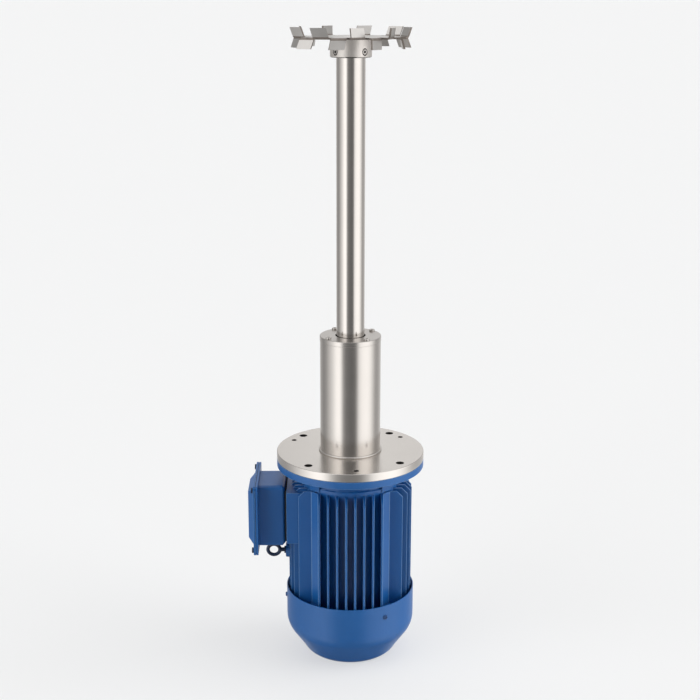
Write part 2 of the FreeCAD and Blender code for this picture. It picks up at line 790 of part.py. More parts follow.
def dome(inset, x0, depth):
    """Four-sided raised middle of the lid."""
    def frame(x, half_width, half_height):
        corners = [(half_width, half_height), (-half_width, half_height), (-half_width, -half_height),
                   (half_width, -half_height)]
        points = [V(x, y, box_centre + z) for y, z in corners]
        return Part.makePolygon(points + points[:1])
    base = frame(x0, dome_base_half_width - inset, dome_base_half_height - inset)
    face = frame(x0 - depth, dome_face_half_width - inset, dome_face_half_height - inset)
    return Part.makeLoft([base, face], True, True)


def terminal_box_lid():
    x1 = -box_front - flange_sheet - lid_gasket
    x0 = x1 - lid_thickness
    plate = rounded_block(x0, x1, lid_half_width, lid_half_height, lid_corner_radius)
    body = plate.fuse(dome(0, x0, dome_depth))
    body = body.cut(dome(dome_wall, x0, dome_depth - dome_wall))
    half_width = dome_base_half_width - dome_wall
    half_height = dome_base_half_height - dome_wall
    opening = block(x0, x1, -half_width, half_width, box_centre - half_height, box_centre + half_height)
    return with_lid_screw_holes(body.cut(opening), x0, lid_thickness)


def lid_screw(place):
    x0 = -box_front - flange_sheet - lid_gasket - lid_thickness
    length = lid_thickness + lid_gasket + flange_sheet
    shank = Part.makeCylinder(lid_screw_radius, length, V(x0, 0, 0) + place, V(1, 0, 0))
    head = Part.makeCylinder(lid_screw_head_radius, lid_screw_head_height,
                             V(x0 - lid_screw_head_height, 0, 0) + place, V(1, 0, 0))
    slot = Part.makeBox(head_slot_depth, head_slot_width, 2 * lid_screw_head_radius,
                        V(x0 - lid_screw_head_height, -head_slot_width / 2, -lid_screw_head_radius))
    slot.translate(place)
    return shank.fuse(head).cut(slot)


def box_screw(z):
    """Cheese-head screw inside the box, through its floor into the pad."""
    x0 = -box_back - box_wall
    length = box_wall + (box_back - pad_face) + box_screw_bite
    shank = Part.makeCylinder(lid_screw_radius, length, V(x0, 0, z), V(1, 0, 0))
    head_place = V(x0 - lid_screw_head_height, 0, z)
    head = Part.makeCylinder(lid_screw_head_radius, lid_screw_head_height, head_place, V(1, 0, 0))
    return shank.fuse(head)


def terminal_board():
    x1 = -box_back - box_wall
    body = block(x1 - board_thickness, x1, board_place - board_half_width, board_place + board_half_width,
                 box_centre - board_half_height, box_centre + board_half_height)
    studs = []
    for column in (-0.5, 0.5):
        for row in (-1, 0, 1):
            y = board_place + column * board_half_width
            foot = V(x1 - board_thickness, y, box_centre + row * stud_pitch)
            studs.append(Part.makeCylinder(stud_radius, stud_height, foot, V(-1, 0, 0)))
    return body.multiFuse(studs)


# Cable entries

def at_entry(shape, k):
    """A shape made along +Z from the outside of the box wall, set into a cable entry."""
    return along(shape, V(entry_x, box_half_width, entry_height(k)), V(0, 1, 0))


def cable_gland():
    body = hexagon(gland_hex, 0, gland_hex_height)
    bottom = -box_wall - thread_end
    body = body.fuse(cylinder(entry_radius - fit_gap, bottom, gland_body_length))
    body = body.cut(cylinder(gland_cable_radius + gland_seal_wall, bottom, gland_body_length))
    return at_entry(body, 0)


def gland_nut():
    z0 = gland_hex_height + gland_nut_gap
    body = hexagon(gland_nut_hex, z0, z0 + gland_nut_length)
    wide = gland_nut_hex / math.sqrt(3) + gland_nut_corner
    cone = Part.makeCone(wide, wide - gland_nut_draft, gland_nut_length, V(0, 0, z0))
    body = body.common(cone)
    body = body.cut(cylinder(entry_radius, z0, gland_body_length + fit_gap))
    return at_entry(body.cut(cylinder(gland_cable_radius, z0, z0 + gland_nut_length)), 0)


def gland_seal():
    """Rubber ring squeezed between the nut and the gland body."""
    outer = gland_cable_radius + gland_seal_wall - fit_gap
    body = ring(outer, gland_cable_radius - gland_seal_squeeze, gland_body_length - gland_seal_height,
                gland_body_length)
    return at_entry(body, 0)


def blanking_plug():
    body = cylinder(plug_flange_radius, 0, plug_flange_height)
    body = body.fuse(cylinder(entry_radius - fit_gap, -box_wall - thread_end, 0))
    socket = hexagon(plug_socket_flats, plug_flange_height - plug_socket_depth, plug_flange_height)
    return at_entry(body.cut(socket), 1)


def eye_ring(centre):
    """Forged ring of eight-sided section in the plane of X and Z."""
    corner = eye_section_radius / math.cos(math.pi / 8)
    section = []
    for k in range(8):
        a = math.radians(45 * k + 22.5)
        section.append(centre + V(eye_ring_radius + corner * math.cos(a), corner * math.sin(a), 0))
    face = Part.Face(Part.makePolygon(section + section[:1]))
    return face.revolve(centre, V(0, 1, 0), 360)


def eye_bolt():
    """Lifting eye screwed into the boss of the housing, its ring facing the side of -Y."""
    centre = V(-eye_place, 0, eye_height)
    eye = eye_ring(centre)
    inner_reach = eye_place - eye_ring_radius
    shank = Part.makeCylinder(eye_shank_radius, inner_reach - eye_boss_face + eye_thread,
                              V(-inner_reach, 0, eye_height), V(1, 0, 0))
    collar = Part.makeCone(eye_section_radius, eye_collar_radius, inner_reach - eye_boss_face,
                           V(-inner_reach, 0, eye_height), V(1, 0, 0))
    return eye.multiFuse([shank, collar])


# Mounting flange, tube and cap

def mounting_flange():
    bore = tube_radius - tube_wall
    recess = spigot_radius + fit_gap
    recess_top = z_joint + spigot_height + spigot_gap
    points = [(bore, recess_top), (recess, recess_top), (recess, z_joint),
              (flange_radius - plate_edge, z_joint), (flange_radius, z_joint + plate_edge),
              (flange_radius, z_plate - plate_edge), (flange_radius - plate_edge, z_plate), (bore, z_plate)]
    body = revolved(outline(points))
    holes = []
    for k in range(through_hole_count):
        place = polar(hole_circle, through_hole_angle(k))
        holes.append(cylinder(through_hole_radius, z_joint, z_plate, place))
    for k in range(tapped_hole_count):
        place = polar(hole_circle, tapped_hole_angle(k))
        holes.append(cylinder(tapped_hole_radius, z_joint, z_plate, place))
    return body.cut(holes[0].multiFuse(holes[1:]))


def housing_tube():
    return ring(tube_radius, tube_radius - tube_wall, z_plate, z_tube)


def weld_bead():
    """Fillet weld round the foot of the tube."""
    return revolved(outline([(tube_radius, z_plate), (tube_radius + weld_leg, z_plate),
                             (tube_radius, z_plate + weld_leg)]))


def bearing_carrier():
    """Sleeve in the top of the tube that holds the guide bearing and takes the cap's screws."""
    bottom = z_tube - carrier_length
    body = ring(tube_radius - tube_wall - fit_gap, carrier_lip_radius, bottom, z_tube)
    holes = [cylinder(guide_bearing_radius + fit_gap, z_tube - guide_bearing_width, z_tube)]
    for k in range(cap_screw_count):
        holes.append(cylinder(cap_screw_radius, z_tube - cap_screw_bite, z_tube, cap_screw_place(k)))
    return body.cut(holes[0].multiFuse(holes[1:]))


def cap_screw_place(k):
    return polar(cap_screw_circle, cap_screw_first + 360 / cap_screw_count * k)


def cap_ring():
    seal_top = z_cap - cap_lip
    points = [(seal_radius + fit_gap, z_tube), (cap_radius, z_tube), (cap_radius, z_cap - cap_edge),
              (cap_radius - cap_edge, z_cap), (cap_bore_radius, z_cap), (cap_bore_radius, seal_top),
              (seal_radius + fit_gap, seal_top)]
    body = revolved(outline(points))
    holes = [cylinder(cap_screw_radius + bolt_gap, z_tube, z_cap, cap_screw_place(k))
             for k in range(cap_screw_count)]
    return body.cut(holes[0].multiFuse(holes[1:]))


def cap_screw(k):
    """Low socket screw, its head standing on the cap."""
    place = cap_screw_place(k)
    top = z_cap + cap_screw_head_height
    shank = cylinder(cap_screw_radius, z_tube - cap_screw_bite + cap_screw_end_gap, z_cap, place)
    head = cylinder(cap_screw_head_radius, z_cap, top, place)
    rim = [e for e in head.Edges if e.Length > cap_screw_head_radius and abs(e.CenterOfMass.z - top) < 0.01]
    head = head.makeChamfer(cap_screw_head_edge, rim)
    socket = hexagon(cap_screw_socket_flats, top - cap_screw_socket_depth, top)
    socket.translate(place)
    return shank.fuse(head).cut(socket)


def lip_seal():
    return ring(seal_radius, spindle_radius + running_gap, z_tube + seal_gap, z_cap - cap_lip)


# Spindle, hub and dispersing disc

def spindle():
    """Hollow at the foot for the motor's shaft, a shoulder on the guide bearing, a spigot in the disc."""
    foot = z_plate + spindle_foot
    socket = output_radius + fit_gap
    socket_top = z_joint + output_length + spindle_socket_spare
    lower = guide_bearing_bore
    points = [(socket, foot), (lower - spindle_foot_edge, foot), (lower, foot + spindle_foot_edge),
              (lower, z_tube), (spindle_radius, z_tube), (spindle_radius, z_disc), (disc_hole_radius, z_disc),
              (disc_hole_radius, z_top), (0, z_top), (0, socket_top), (socket, socket_top)]
    body = revolved(outline(points))
    keyway = block(0, output_radius + key_proud + key_gap, -key_width / 2, key_width / 2, foot,
                   key_bottom + key_length + key_gap)
    screw_axis = V(0, 0, foot + coupling_screw_height)
    screw_hole = Part.makeCylinder(coupling_screw_radius, lower, screw_axis, V(-1, 0, 0))
    return body.cut(keyway.fuse(screw_hole)).removeSplitter()


def coupling_screw():
    """Set screw that clamps the spindle's foot on the motor's shaft, opposite the key."""
    z = z_plate + spindle_foot + coupling_screw_height
    length = guide_bearing_bore - output_radius - coupling_screw_inset
    body = Part.makeCylinder(coupling_screw_radius, length, V(-output_radius, 0, z), V(-1, 0, 0))
    socket = hexagon(set_screw_socket_flats, 0, set_screw_socket_depth)
    return body.cut(along(socket, V(-output_radius - length, 0, z), V(1, 0, 0)))


def blade_hub():
    """Collar under the disc, clamped on the spindle by two set screws a quarter turn apart."""
    bore = spindle_radius + fit_gap
    points = [(bore, z_hub), (hub_radius - hub_edge, z_hub), (hub_radius, z_hub + hub_edge),
              (hub_radius, z_disc), (bore, z_disc)]
    body = revolved(outline(points))
    axis = V(0, 0, z_hub + hub_screw_height)
    for angle in hub_screw_angles:
        body = body.cut(Part.makeCylinder(hub_screw_radius, hub_radius, axis, polar(1, angle)))
    return body


def hub_set_screw(angle):
    start = polar(spindle_radius, angle, z_hub + hub_screw_height)
    body = Part.makeCylinder(hub_screw_radius, hub_screw_length, start, polar(1, angle))
    mouth = polar(spindle_radius + hub_screw_length, angle, z_hub + hub_screw_height)
    socket = hexagon(set_screw_socket_flats, 0, set_screw_socket_depth)
    return body.cut(along(socket, mouth, polar(-1, angle)))


def tooth_frame(k):
    """Middle of a tooth's root, the direction that its plate faces and the one along the plate."""
    angle = tooth_first + 180 / tooth_pairs * k
    facing = angle + tooth_turn
    return polar(tooth_root_radius, angle), polar(1, facing), polar(1, facing + 90)


def bend_setback():
    """How far before the corner of the outer faces the bend begins."""
    return (bend_radius + disc_thickness) * math.tan(math.radians(90 - tooth_lean) / 2)


def tooth(k):
    """A bent-up tooth on even numbers, a bent-down one on odd numbers."""
    root, n, t = tooth_frame(k)
    up = V(0, 0, 1) if k % 2 == 0 else V(0, 0, -1)
    base = V(0, 0, z_disc if k % 2 == 0 else z_top)
    lean = math.radians(tooth_lean)
    back = bend_setback()
    outer_bend = bend_radius + disc_thickness
    full = disc_thickness + tooth_height
    reach = tooth_width / 2 + tooth_skew + past

    def at(x, z):
        return root + n * x + up * z + base - t * reach

    def on_bend(radius, turn):
        return at(-back + radius * math.sin(turn), outer_bend - radius * math.cos(turn))

    end = math.pi / 2 - lean
    tip = full * math.tan(lean)
    inner_tip = tip - disc_thickness / math.cos(lean)
    edges = [
        Part.LineSegment(at(-back - past, 0), on_bend(outer_bend, 0)).toShape(),
        Part.Arc(on_bend(outer_bend, 0), on_bend(outer_bend, end / 2), on_bend(outer_bend, end)).toShape(),
        Part.LineSegment(on_bend(outer_bend, end), at(tip, full)).toShape(),
        Part.LineSegment(at(tip, full), at(inner_tip, full)).toShape(),
        Part.LineSegment(at(inner_tip, full), on_bend(bend_radius, end)).toShape(),
        Part.Arc(on_bend(bend_radius, end), on_bend(bend_radius, end / 2), on_bend(bend_radius, 0)).toShape(),
        Part.LineSegment(on_bend(bend_radius, 0), at(-back - past, disc_thickness)).toShape(),
        Part.LineSegment(at(-back - past, disc_thickness), at(-back - past, 0)).toShape(),
    ]
    strip = Part.Face(Part.Wire(edges)).extrude(t * (2 * reach))
    half = tooth_width / 2
    start = root - n * full + base
    side = [start - t * half, start + t * half, start + t * (half - tooth_skew) + up * full,
            start - t * (half + tooth_skew) + up * full]
    return strip.common(prism(side, n * (2 * full)))


def disc_outline():
    """Straight roots of all teeth, parted by radial slots."""
    back = bend_setback()
    half = tooth_width / 2
    count = 2 * tooth_pairs
    starts, ends = [], []
    for k in range(count):
        root, n, t = tooth_frame(k)
        starts.append(root - n * back - t * half)
        ends.append(root - n * back + t * half)
    points = []
    for k in range(count):
        following = starts[(k + 1) % count]
        floor = ends[k].Length - slot_depth
        slot = [ends[k] * (floor / ends[k].Length), following * (floor / following.Length)]
        points += [starts[k], ends[k]] + slot
    return points


def dispersing_disc():
    plate = prism(disc_outline(), V(0, 0, disc_thickness))
    plate.translate(V(0, 0, z_disc))
    body = plate.multiFuse([tooth(k) for k in range(2 * tooth_pairs)])
    return body.cut(cylinder(disc_hole_radius + fit_gap, z_disc, z_top)).removeSplitter()


save("fan_cover", fan_cover())
for k in range(cover_screw_count):
    save("fan_cover_screw_" + str(k + 1), cover_screw(k))
save("stator_housing", stator_housing())
save("rear_endshield", rear_endshield())
save("drive_endshield", drive_endshield())
for k, place in enumerate(tie_bolt_places()):
    save("tie_bolt_" + str(k + 1), tie_bolt(place))
save("stator_core", stator_core())
save("winding_lower", winding(core_bottom - winding_height))
save("winding_upper", winding(core_bottom + core_length))
for place, z0 in (("rear", rear_bearing_bottom), ("drive", drive_bearing_bottom)):
    save(place + "_bearing_outer", outer_ring(bearing_outer_radius, bearing_ring_split, z0, bearing_width))
    save(place + "_bearing_inner", inner_ring(bearing_bore_radius, bearing_ring_split, z0, bearing_width))
save("pad_gasket", pad_gasket())
save("terminal_box_base", terminal_box_base())
save("terminal_box_gasket", terminal_box_gasket())
save("terminal_box_lid", terminal_box_lid())
for k, place in enumerate(lid_screw_places()):
    save("lid_screw_" + str(k + 1), lid_screw(place))
for k, z in enumerate(box_screw_heights()):
    save("box_screw_" + str(k + 1), box_screw(z))
save("terminal_board", terminal_board())
save("cable_gland", cable_gland())
save("gland_nut", gland_nut())
save("gland_seal", gland_seal())
save("blanking_plug", blanking_plug())
save("eye_bolt", eye_bolt())
save("mounting_flange", mounting_flange())
for k in range(tapped_hole_count):
    save("flange_screw_" + str(k + 1), flange_screw(k))
save("housing_tube", housing_tube())
save("weld_bead", weld_bead())
save("bearing_carrier", bearing_carrier())
save("guide_bearing_outer", outer_ring(guide_bearing_radius, guide_ring_split, z_tube - guide_bearing_width,
                                       guide_bearing_width))
save("cap_ring", cap_ring())
for k in range(cap_screw_count):
    save("cap_screw_" + str(k + 1), cap_screw(k))
save("lip_seal", lip_seal())
save("motor_shaft", motor_shaft())
save("shaft_key", shaft_key())
save("rotor", rotor())
save("cooling_fan", cooling_fan())
save("fan_clip", fan_clip())
save("spindle", spindle())
save("guide_bearing_inner", inner_ring(guide_bearing_bore, guide_ring_split, z_tube - guide_bearing_width,
                                       guide_bearing_width))
save("coupling_screw", coupling_screw())
save("blade_hub", blade_hub())
for k, angle in enumerate(hub_screw_angles):
    save("hub_set_screw_" + str(k + 1), hub_set_screw(angle))
save("dispersing_disc", dispersing_disc())
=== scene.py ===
# %% [markdown]
# High shear homogenizer mixer, dressed from its CAD model.
# The mixer stands on the fan cover of its motor. A blue motor with cast fins carries a stainless
# flange, a tube and a long spindle, and the spindle ends in a toothed dispersing disc. The CAD
# model already has every part at its size and place. This lesson gives the parts soft edges,
# true round surfaces and finishes, and lights them as in a product photograph.

# %% Load the CAD frame
import json
import math
import bpy
from mathutils import Euler, Matrix, Vector

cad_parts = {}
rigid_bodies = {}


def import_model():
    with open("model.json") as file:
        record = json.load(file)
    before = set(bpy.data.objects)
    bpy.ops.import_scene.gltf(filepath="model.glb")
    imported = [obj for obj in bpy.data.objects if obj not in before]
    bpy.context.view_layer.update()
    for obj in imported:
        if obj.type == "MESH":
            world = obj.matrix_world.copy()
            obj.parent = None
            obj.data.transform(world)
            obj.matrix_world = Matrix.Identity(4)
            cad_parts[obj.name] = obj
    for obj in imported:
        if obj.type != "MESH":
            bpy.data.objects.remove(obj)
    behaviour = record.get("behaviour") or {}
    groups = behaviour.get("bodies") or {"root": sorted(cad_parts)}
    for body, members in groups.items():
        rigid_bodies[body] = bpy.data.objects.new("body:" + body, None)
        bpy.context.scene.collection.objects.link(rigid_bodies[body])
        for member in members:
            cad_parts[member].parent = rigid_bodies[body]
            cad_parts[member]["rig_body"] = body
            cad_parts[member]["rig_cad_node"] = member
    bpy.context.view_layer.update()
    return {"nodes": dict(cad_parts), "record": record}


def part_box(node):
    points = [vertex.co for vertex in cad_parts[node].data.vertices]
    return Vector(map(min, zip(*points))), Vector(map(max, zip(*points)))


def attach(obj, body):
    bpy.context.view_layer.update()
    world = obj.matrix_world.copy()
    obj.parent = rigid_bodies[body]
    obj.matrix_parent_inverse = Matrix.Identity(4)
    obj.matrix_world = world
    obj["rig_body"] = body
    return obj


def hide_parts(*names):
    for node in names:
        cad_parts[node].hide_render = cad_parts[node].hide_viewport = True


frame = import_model()

# %% [markdown]
# The camera comes first, because every look at the model goes through it. A photograph of a
# round product tells its camera: the ellipses of the flange, tube and cap fix the height, the
# distance and the lens. The camera stands two metres from the spindle, a little above the disc,
# and looks down.

# %% Camera
mm = 0.001                               # the scene is in metres
camera_distance = 2102.3 * mm            # level distance from the spindle
camera_height = 1116.3 * mm
camera_side = math.radians(-0.6)         # turned round the spindle from straight in front
camera_pitch = math.radians(15.267)      # how far it looks down
camera_roll = math.radians(0.10)
film_width = 36.0                        # this and the lens in millimetres, as Blender takes them
lens = 66.98
lens_shift = -0.0006                     # sideways, as a share of the picture

aim = Euler((math.pi / 2 - camera_pitch, 0, camera_side)).to_matrix()
turn = aim @ Matrix.Rotation(camera_roll, 3, 'Z')
bpy.ops.object.select_all(action='DESELECT')
bpy.ops.object.camera_add(
    location=(math.sin(camera_side) * camera_distance, -math.cos(camera_side) * camera_distance,
              camera_height),
    rotation=turn.to_euler(),
)
camera = bpy.context.object
camera.name = "camera"
camera.data.sensor_width = film_width
camera.data.lens = lens
camera.data.shift_x = lens_shift
bpy.context.scene.camera = camera
print("camera at", tuple(round(v, 3) for v in camera.location))

# %% [markdown]
# Finishes are made of shader nodes. Wiring them one by one makes long lists that are hard to
# read, so one small class stands for the output of a node. Sums and products of such outputs are
# written as plain arithmetic and add their Math nodes by themselves.

# %% Arithmetic on the outputs of nodes
class Wire:
    """One output of a node. Arithmetic on wires adds Math nodes."""

    def __init__(self, nodes, socket):
        self.nodes = nodes
        self.socket = socket

    def output(self, name):
        """Another output of the same node."""
        return Wire(self.nodes, self.socket.node.outputs[name])

    def maths(self, operation, first, second):
        return self.nodes.node('ShaderNodeMath', {"operation": operation}, {0: first, 1: second})

    def __add__(self, other):
        return self.maths('ADD', self, other)

    def __sub__(self, other):
        return self.maths('SUBTRACT', self, other)

    def __rsub__(self, other):
        return self.maths('SUBTRACT', other, self)

    def __mul__(self, other):
        return self.maths('MULTIPLY', self, other)

    def __truediv__(self, other):
        return self.maths('DIVIDE', self, other)

    def __rtruediv__(self, other):
        return self.maths('DIVIDE', other, self)

    __radd__ = __add__
    __rmul__ = __mul__


print("wires can be added, subtracted, multiplied and divided")

# %% [markdown]
# A second class holds a tree of nodes. Its one method adds any other node: its type, its
# settings and what goes into its sockets. Settings come first, because some of them change which
# sockets a node has.

# %% Trees of nodes
class Nodes:
    """A tree of nodes."""

    def __init__(self, tree):
        self.tree = tree

    def feed(self, node, socket, value):
        """Link a wire to a socket, or set the socket to a value."""
        if isinstance(value, Wire):
            self.tree.links.new(value.socket, node.inputs[socket])
        else:
            node.inputs[socket].default_value = value

    def node(self, kind, settings=None, inputs=None, output=0):
        """Add a node of a type, with its settings first and then its inputs."""
        node = self.tree.nodes.new(kind)
        for name, value in (settings or {}).items():
            if name == "stops":
                ramp = node.color_ramp.elements
                while len(ramp) < len(value):
                    ramp.new(0.5)
                for stop, (place, colour) in zip(ramp, value):
                    stop.position = place
                    stop.color = colour
            else:
                setattr(node, name, value)
        for socket, value in (inputs or {}).items():
            self.feed(node, socket, value)
        return Wire(self, node.outputs[output])


print("any node is added by one method")

# %% [markdown]
# A finish is a material with one shader. Its class has the few words that all finishes of this
# mixer share: noise, a tint between two colours, a bump, and painting a piece. The noise is read
# at the place on the piece itself, so a pattern stays on a piece that turns.

# %% Finishes
mix_low, mix_high, mix_colour = 6, 7, 2  # a Mix node's two colour inputs and its colour output


class Finish(Nodes):
    """A material with one Principled shader."""

    def __init__(self, name, **uniform):
        self.material = bpy.data.materials.new(name)
        self.material.use_nodes = True
        super().__init__(self.material.node_tree)
        self.shader = self.tree.nodes["Principled BSDF"]
        for socket, value in uniform.items():
            self.shade(socket.replace("_", " "), value)

    def shade(self, socket, value):
        self.feed(self.shader, socket, value)

    def surface(self, shader):
        self.feed(self.tree.nodes["Material Output"], "Surface", shader)

    def place(self):
        return self.node('ShaderNodeTexCoord', output="Object")

    def axes(self):
        """The place on the piece, split in x, y and z."""
        spot = self.node('ShaderNodeSeparateXYZ', {}, {0: self.place()})
        return [spot.output(axis) for axis in "XYZ"]

    def noise(self, scale, detail=3.0, stretch=(1, 1, 1)):
        spot = self.node('ShaderNodeMapping', {}, {"Vector": self.place(), "Scale": stretch})
        return self.node('ShaderNodeTexNoise', {}, {"Vector": spot, "Scale": scale,
                                                    "Detail": detail})

    def tint(self, factor, low, high):
        return self.node('ShaderNodeMix', {"data_type": 'RGBA'},
                         {"Factor": factor, mix_low: low, mix_high: high}, output=mix_colour)

    def bump(self, height, distance, strength=1.0):
        self.shade("Normal", self.node('ShaderNodeBump', {}, {
            "Height": height, "Distance": distance, "Strength": strength}))

    def paint(self, piece):
        piece.data.materials.clear()
        piece.data.materials.append(self.material)


def grey(level, warmth=0.0):
    """A grey, made warmer by more red and less blue."""
    return (level * (1 + warmth), level, level * (1 - warmth), 1.0)


print("a mid grey is", grey(0.5))

# %% [markdown]
# The set is a white sweep. It could be a curved sheet, but the camera looks down, so a wide pale
# floor also fills the background. A table lit from below has soft, bright shadows: a share of
# plain white, which only the camera sees, lightens them. The floor is hidden from glossy rays,
# because a mirrored white floor would lay a grey veil on the blue paint.

# %% Floor
floor_size = 600.0
floor_tone = 0.75
floor_glow = 0.55                        # share of plain white

bpy.ops.object.select_all(action='DESELECT')
bpy.ops.mesh.primitive_plane_add(size=floor_size, location=(0, 0, 0))
floor = bpy.context.object
floor.name = "floor"
floor_finish = Finish("pale_floor", Roughness=0.9, Specular_IOR_Level=0.0)
floor_finish.shade("Base Color", floor_finish.tint(
    floor_finish.noise(1.5), grey(floor_tone * 0.995), grey(floor_tone * 1.005, -0.004)))
camera_ray = floor_finish.node('ShaderNodeLightPath', output="Is Camera Ray")
plain_white = floor_finish.node('ShaderNodeEmission', {}, {"Color": grey(1.0, -0.002)})
floor_finish.surface(floor_finish.node('ShaderNodeMixShader', {}, {
    0: camera_ray * floor_glow, 1: Wire(floor_finish, floor_finish.shader.outputs[0]),
    2: plain_white}))
floor_finish.paint(floor)
floor.visible_glossy = False
print("floor", floor_size, "m wide")

# %% [markdown]
# Light comes from large soft sources on both sides and above, and little of it from the camera,
# which is why the grooves between the fins are almost black in the photograph. Area lamps would
# light the foot and the disc of a tall product unlike each other, so wide suns stand for the
# soft boxes.

# %% Lamps
lamp_plan = [                            # name, strength, azimuth from the camera, elevation, width
    ("side_lamp_left", 0.68, -60, 14, 60),
    ("side_lamp_right", 1.06, 84, 14, 60),
    ("top_lamp", 0.50, 160, 70, 90),
]
lamp_distance = 3.0                      # for order in the viewport: a sun shines from anywhere

for name, strength, azimuth, elevation, width in lamp_plan:
    around = math.radians(azimuth)
    up = math.radians(elevation)
    towards = Vector((math.sin(around) * math.cos(up), -math.cos(around) * math.cos(up),
                      math.sin(up)))
    bpy.ops.object.light_add(type='SUN', location=towards * lamp_distance,
                             rotation=towards.to_track_quat('Z', 'Y').to_euler())
    lamp = bpy.context.object
    lamp.name = name
    lamp.data.energy = strength * math.pi
    lamp.data.angle = math.radians(width)
    lamp.visible_glossy = False
print("stage lit by", len(lamp_plan), "suns")

# %% [markdown]
# The world has two tones. To rays that only light the pieces it is a dim room, which fills the
# shadows a little. The camera and mirror rays see a pale backdrop. Mix Shader chooses between
# the two by the kind of ray.

# %% World
ambient = 0.14
backdrop = 0.93

world = bpy.data.worlds.new("studio")
bpy.context.scene.world = world
world.use_nodes = True
sky = Nodes(world.node_tree)
ray = sky.node('ShaderNodeLightPath')
seen = ray.maths('MAXIMUM', ray.output("Is Camera Ray"), ray.output("Is Glossy Ray"))
seen = ray.maths('MAXIMUM', seen, ray.output("Is Transmission Ray"))
dim_room = sky.node('ShaderNodeBackground', {}, {"Color": grey(ambient, -0.01)})
pale_room = sky.node('ShaderNodeBackground', {}, {"Color": grey(backdrop, -0.003)})
room = sky.node('ShaderNodeMixShader', {}, {0: seen, 1: dim_room, 2: pale_room})
sky.feed(sky.tree.nodes["World Output"], "Surface", room)
bpy.context.scene.view_settings.view_transform = 'Standard'
print("world:", ambient, "to light by,", backdrop, "to look at")

# %% [markdown]
# Polished and satin steel has no look of its own: it shows what stands round it. The upright
# bands on the tube and the spindle are soft boxes at both sides and the dark room behind the
# camera. A ring of cards round the mixer gives these reflections, bright where a soft box
# stands. Only glossy rays see it, so it neither hides the mixer nor lights it. A dim card under
# the ring stands for the floor.

# %% Ring of reflection cards
card_radius = 0.9
card_bottom = -1.0
card_top = 2.2
card_strength = 1.5                      # the ramp holds its tones as shares of this
card_plan = [                            # azimuth from the camera, in degrees, and brightness
    (-180, 0.86), (-146, 0.50), (-120, 0.31), (-101, 0.42), (-87, 0.66), (-70, 0.95),
    (-55, 1.38), (-40, 1.50), (-33.5, 1.10), (-27.5, 0.40), (-17, 0.22), (4, 0.16),
    (18, 0.19), (24, 0.45), (31, 1.10), (45, 1.34), (66, 1.40), (80, 1.22),
    (92, 0.82), (106, 0.45), (124, 0.47), (150, 0.70), (180, 0.86),
]
floor_card_size = 2.2 * card_radius
floor_card_tone = 0.20


def stage_card(card):
    """Show a card to glossy rays only."""
    for sight in ("visible_camera", "visible_diffuse", "visible_transmission", "visible_shadow"):
        setattr(card, sight, False)


bpy.ops.mesh.primitive_cylinder_add(
    vertices=64, radius=card_radius, depth=card_top - card_bottom, end_fill_type='NOTHING',
    location=(0, 0, (card_top + card_bottom) / 2))
cards = bpy.context.object
cards.name = "reflection_cards"
card_finish = Finish("soft_boxes", Roughness=1.0)
x, y = card_finish.axes()[:2]
azimuth = card_finish.node('ShaderNodeMath', {"operation": 'ARCTAN2'}, {0: x, 1: 0 - y})
stops = [((degrees + 180) / 360, grey(tone / card_strength, 0.012)) for degrees, tone in card_plan]
tones = card_finish.node('ShaderNodeValToRGB', {"stops": stops}, {0: azimuth / (2 * math.pi) + 0.5})
card_finish.surface(card_finish.node('ShaderNodeEmission', {}, {"Color": tones,
                                                                "Strength": card_strength}))
card_finish.paint(cards)

bpy.ops.object.select_all(action='DESELECT')
bpy.ops.mesh.primitive_plane_add(size=floor_card_size, location=(0, 0, card_bottom))
floor_card = bpy.context.object
floor_card.name = "floor_card"
floor_card_finish = Finish("dim_floor_card", Roughness=1.0)
floor_card_finish.surface(floor_card_finish.node('ShaderNodeEmission', {},
                                                 {"Color": grey(floor_card_tone), "Strength": 1.0}))
floor_card_finish.paint(floor_card)
stage_card(cards)
stage_card(floor_card)
print("cards of", len(card_plan), "tones")

# %% [markdown]
# The motor has a semi-gloss blue enamel. On castings the sand leaves a fine grain under the
# paint, and on drawn sheet the paint only has a faint orange peel. An image of paint would show
# its pixels and repeat. So both come from noise in the bump, at the real scale, and the gloss
# and the tone drift a little over the surface, as sprayed paint does.

# %% Blue enamel on castings and on sheet
enamel = (0.0100, 0.102, 0.326, 1.0)


def toned(colour, factor):
    """The same colour, darker or lighter."""
    return tuple(v * factor for v in colour[:3]) + (1.0,)


def blue_enamel(name, grain_scale, grain_depth, dullness):
    """Enamel with orange peel and a grain of its own."""
    finish = Finish(name, IOR=1.5)
    drift = finish.noise(14.0, 4.0)
    peel = finish.noise(330.0, 2.0)
    grain = finish.noise(grain_scale, 5.0)
    finish.shade("Base Color", finish.tint(drift, toned(enamel, 0.90), toned(enamel, 1.10)))
    finish.shade("Roughness", dullness + finish.noise(70.0, 3.0) * 0.12)
    finish.bump(grain * 0.7 + peel * 0.3, grain_depth)
    return finish


cast_enamel = blue_enamel("blue_enamel_on_casting", 300.0, 0.12 * mm, 0.27)
sheet_enamel = blue_enamel("blue_enamel_on_sheet", 240.0, 0.12 * mm, 0.30)
print("enamel", tuple(round(v, 3) for v in enamel[:3]))
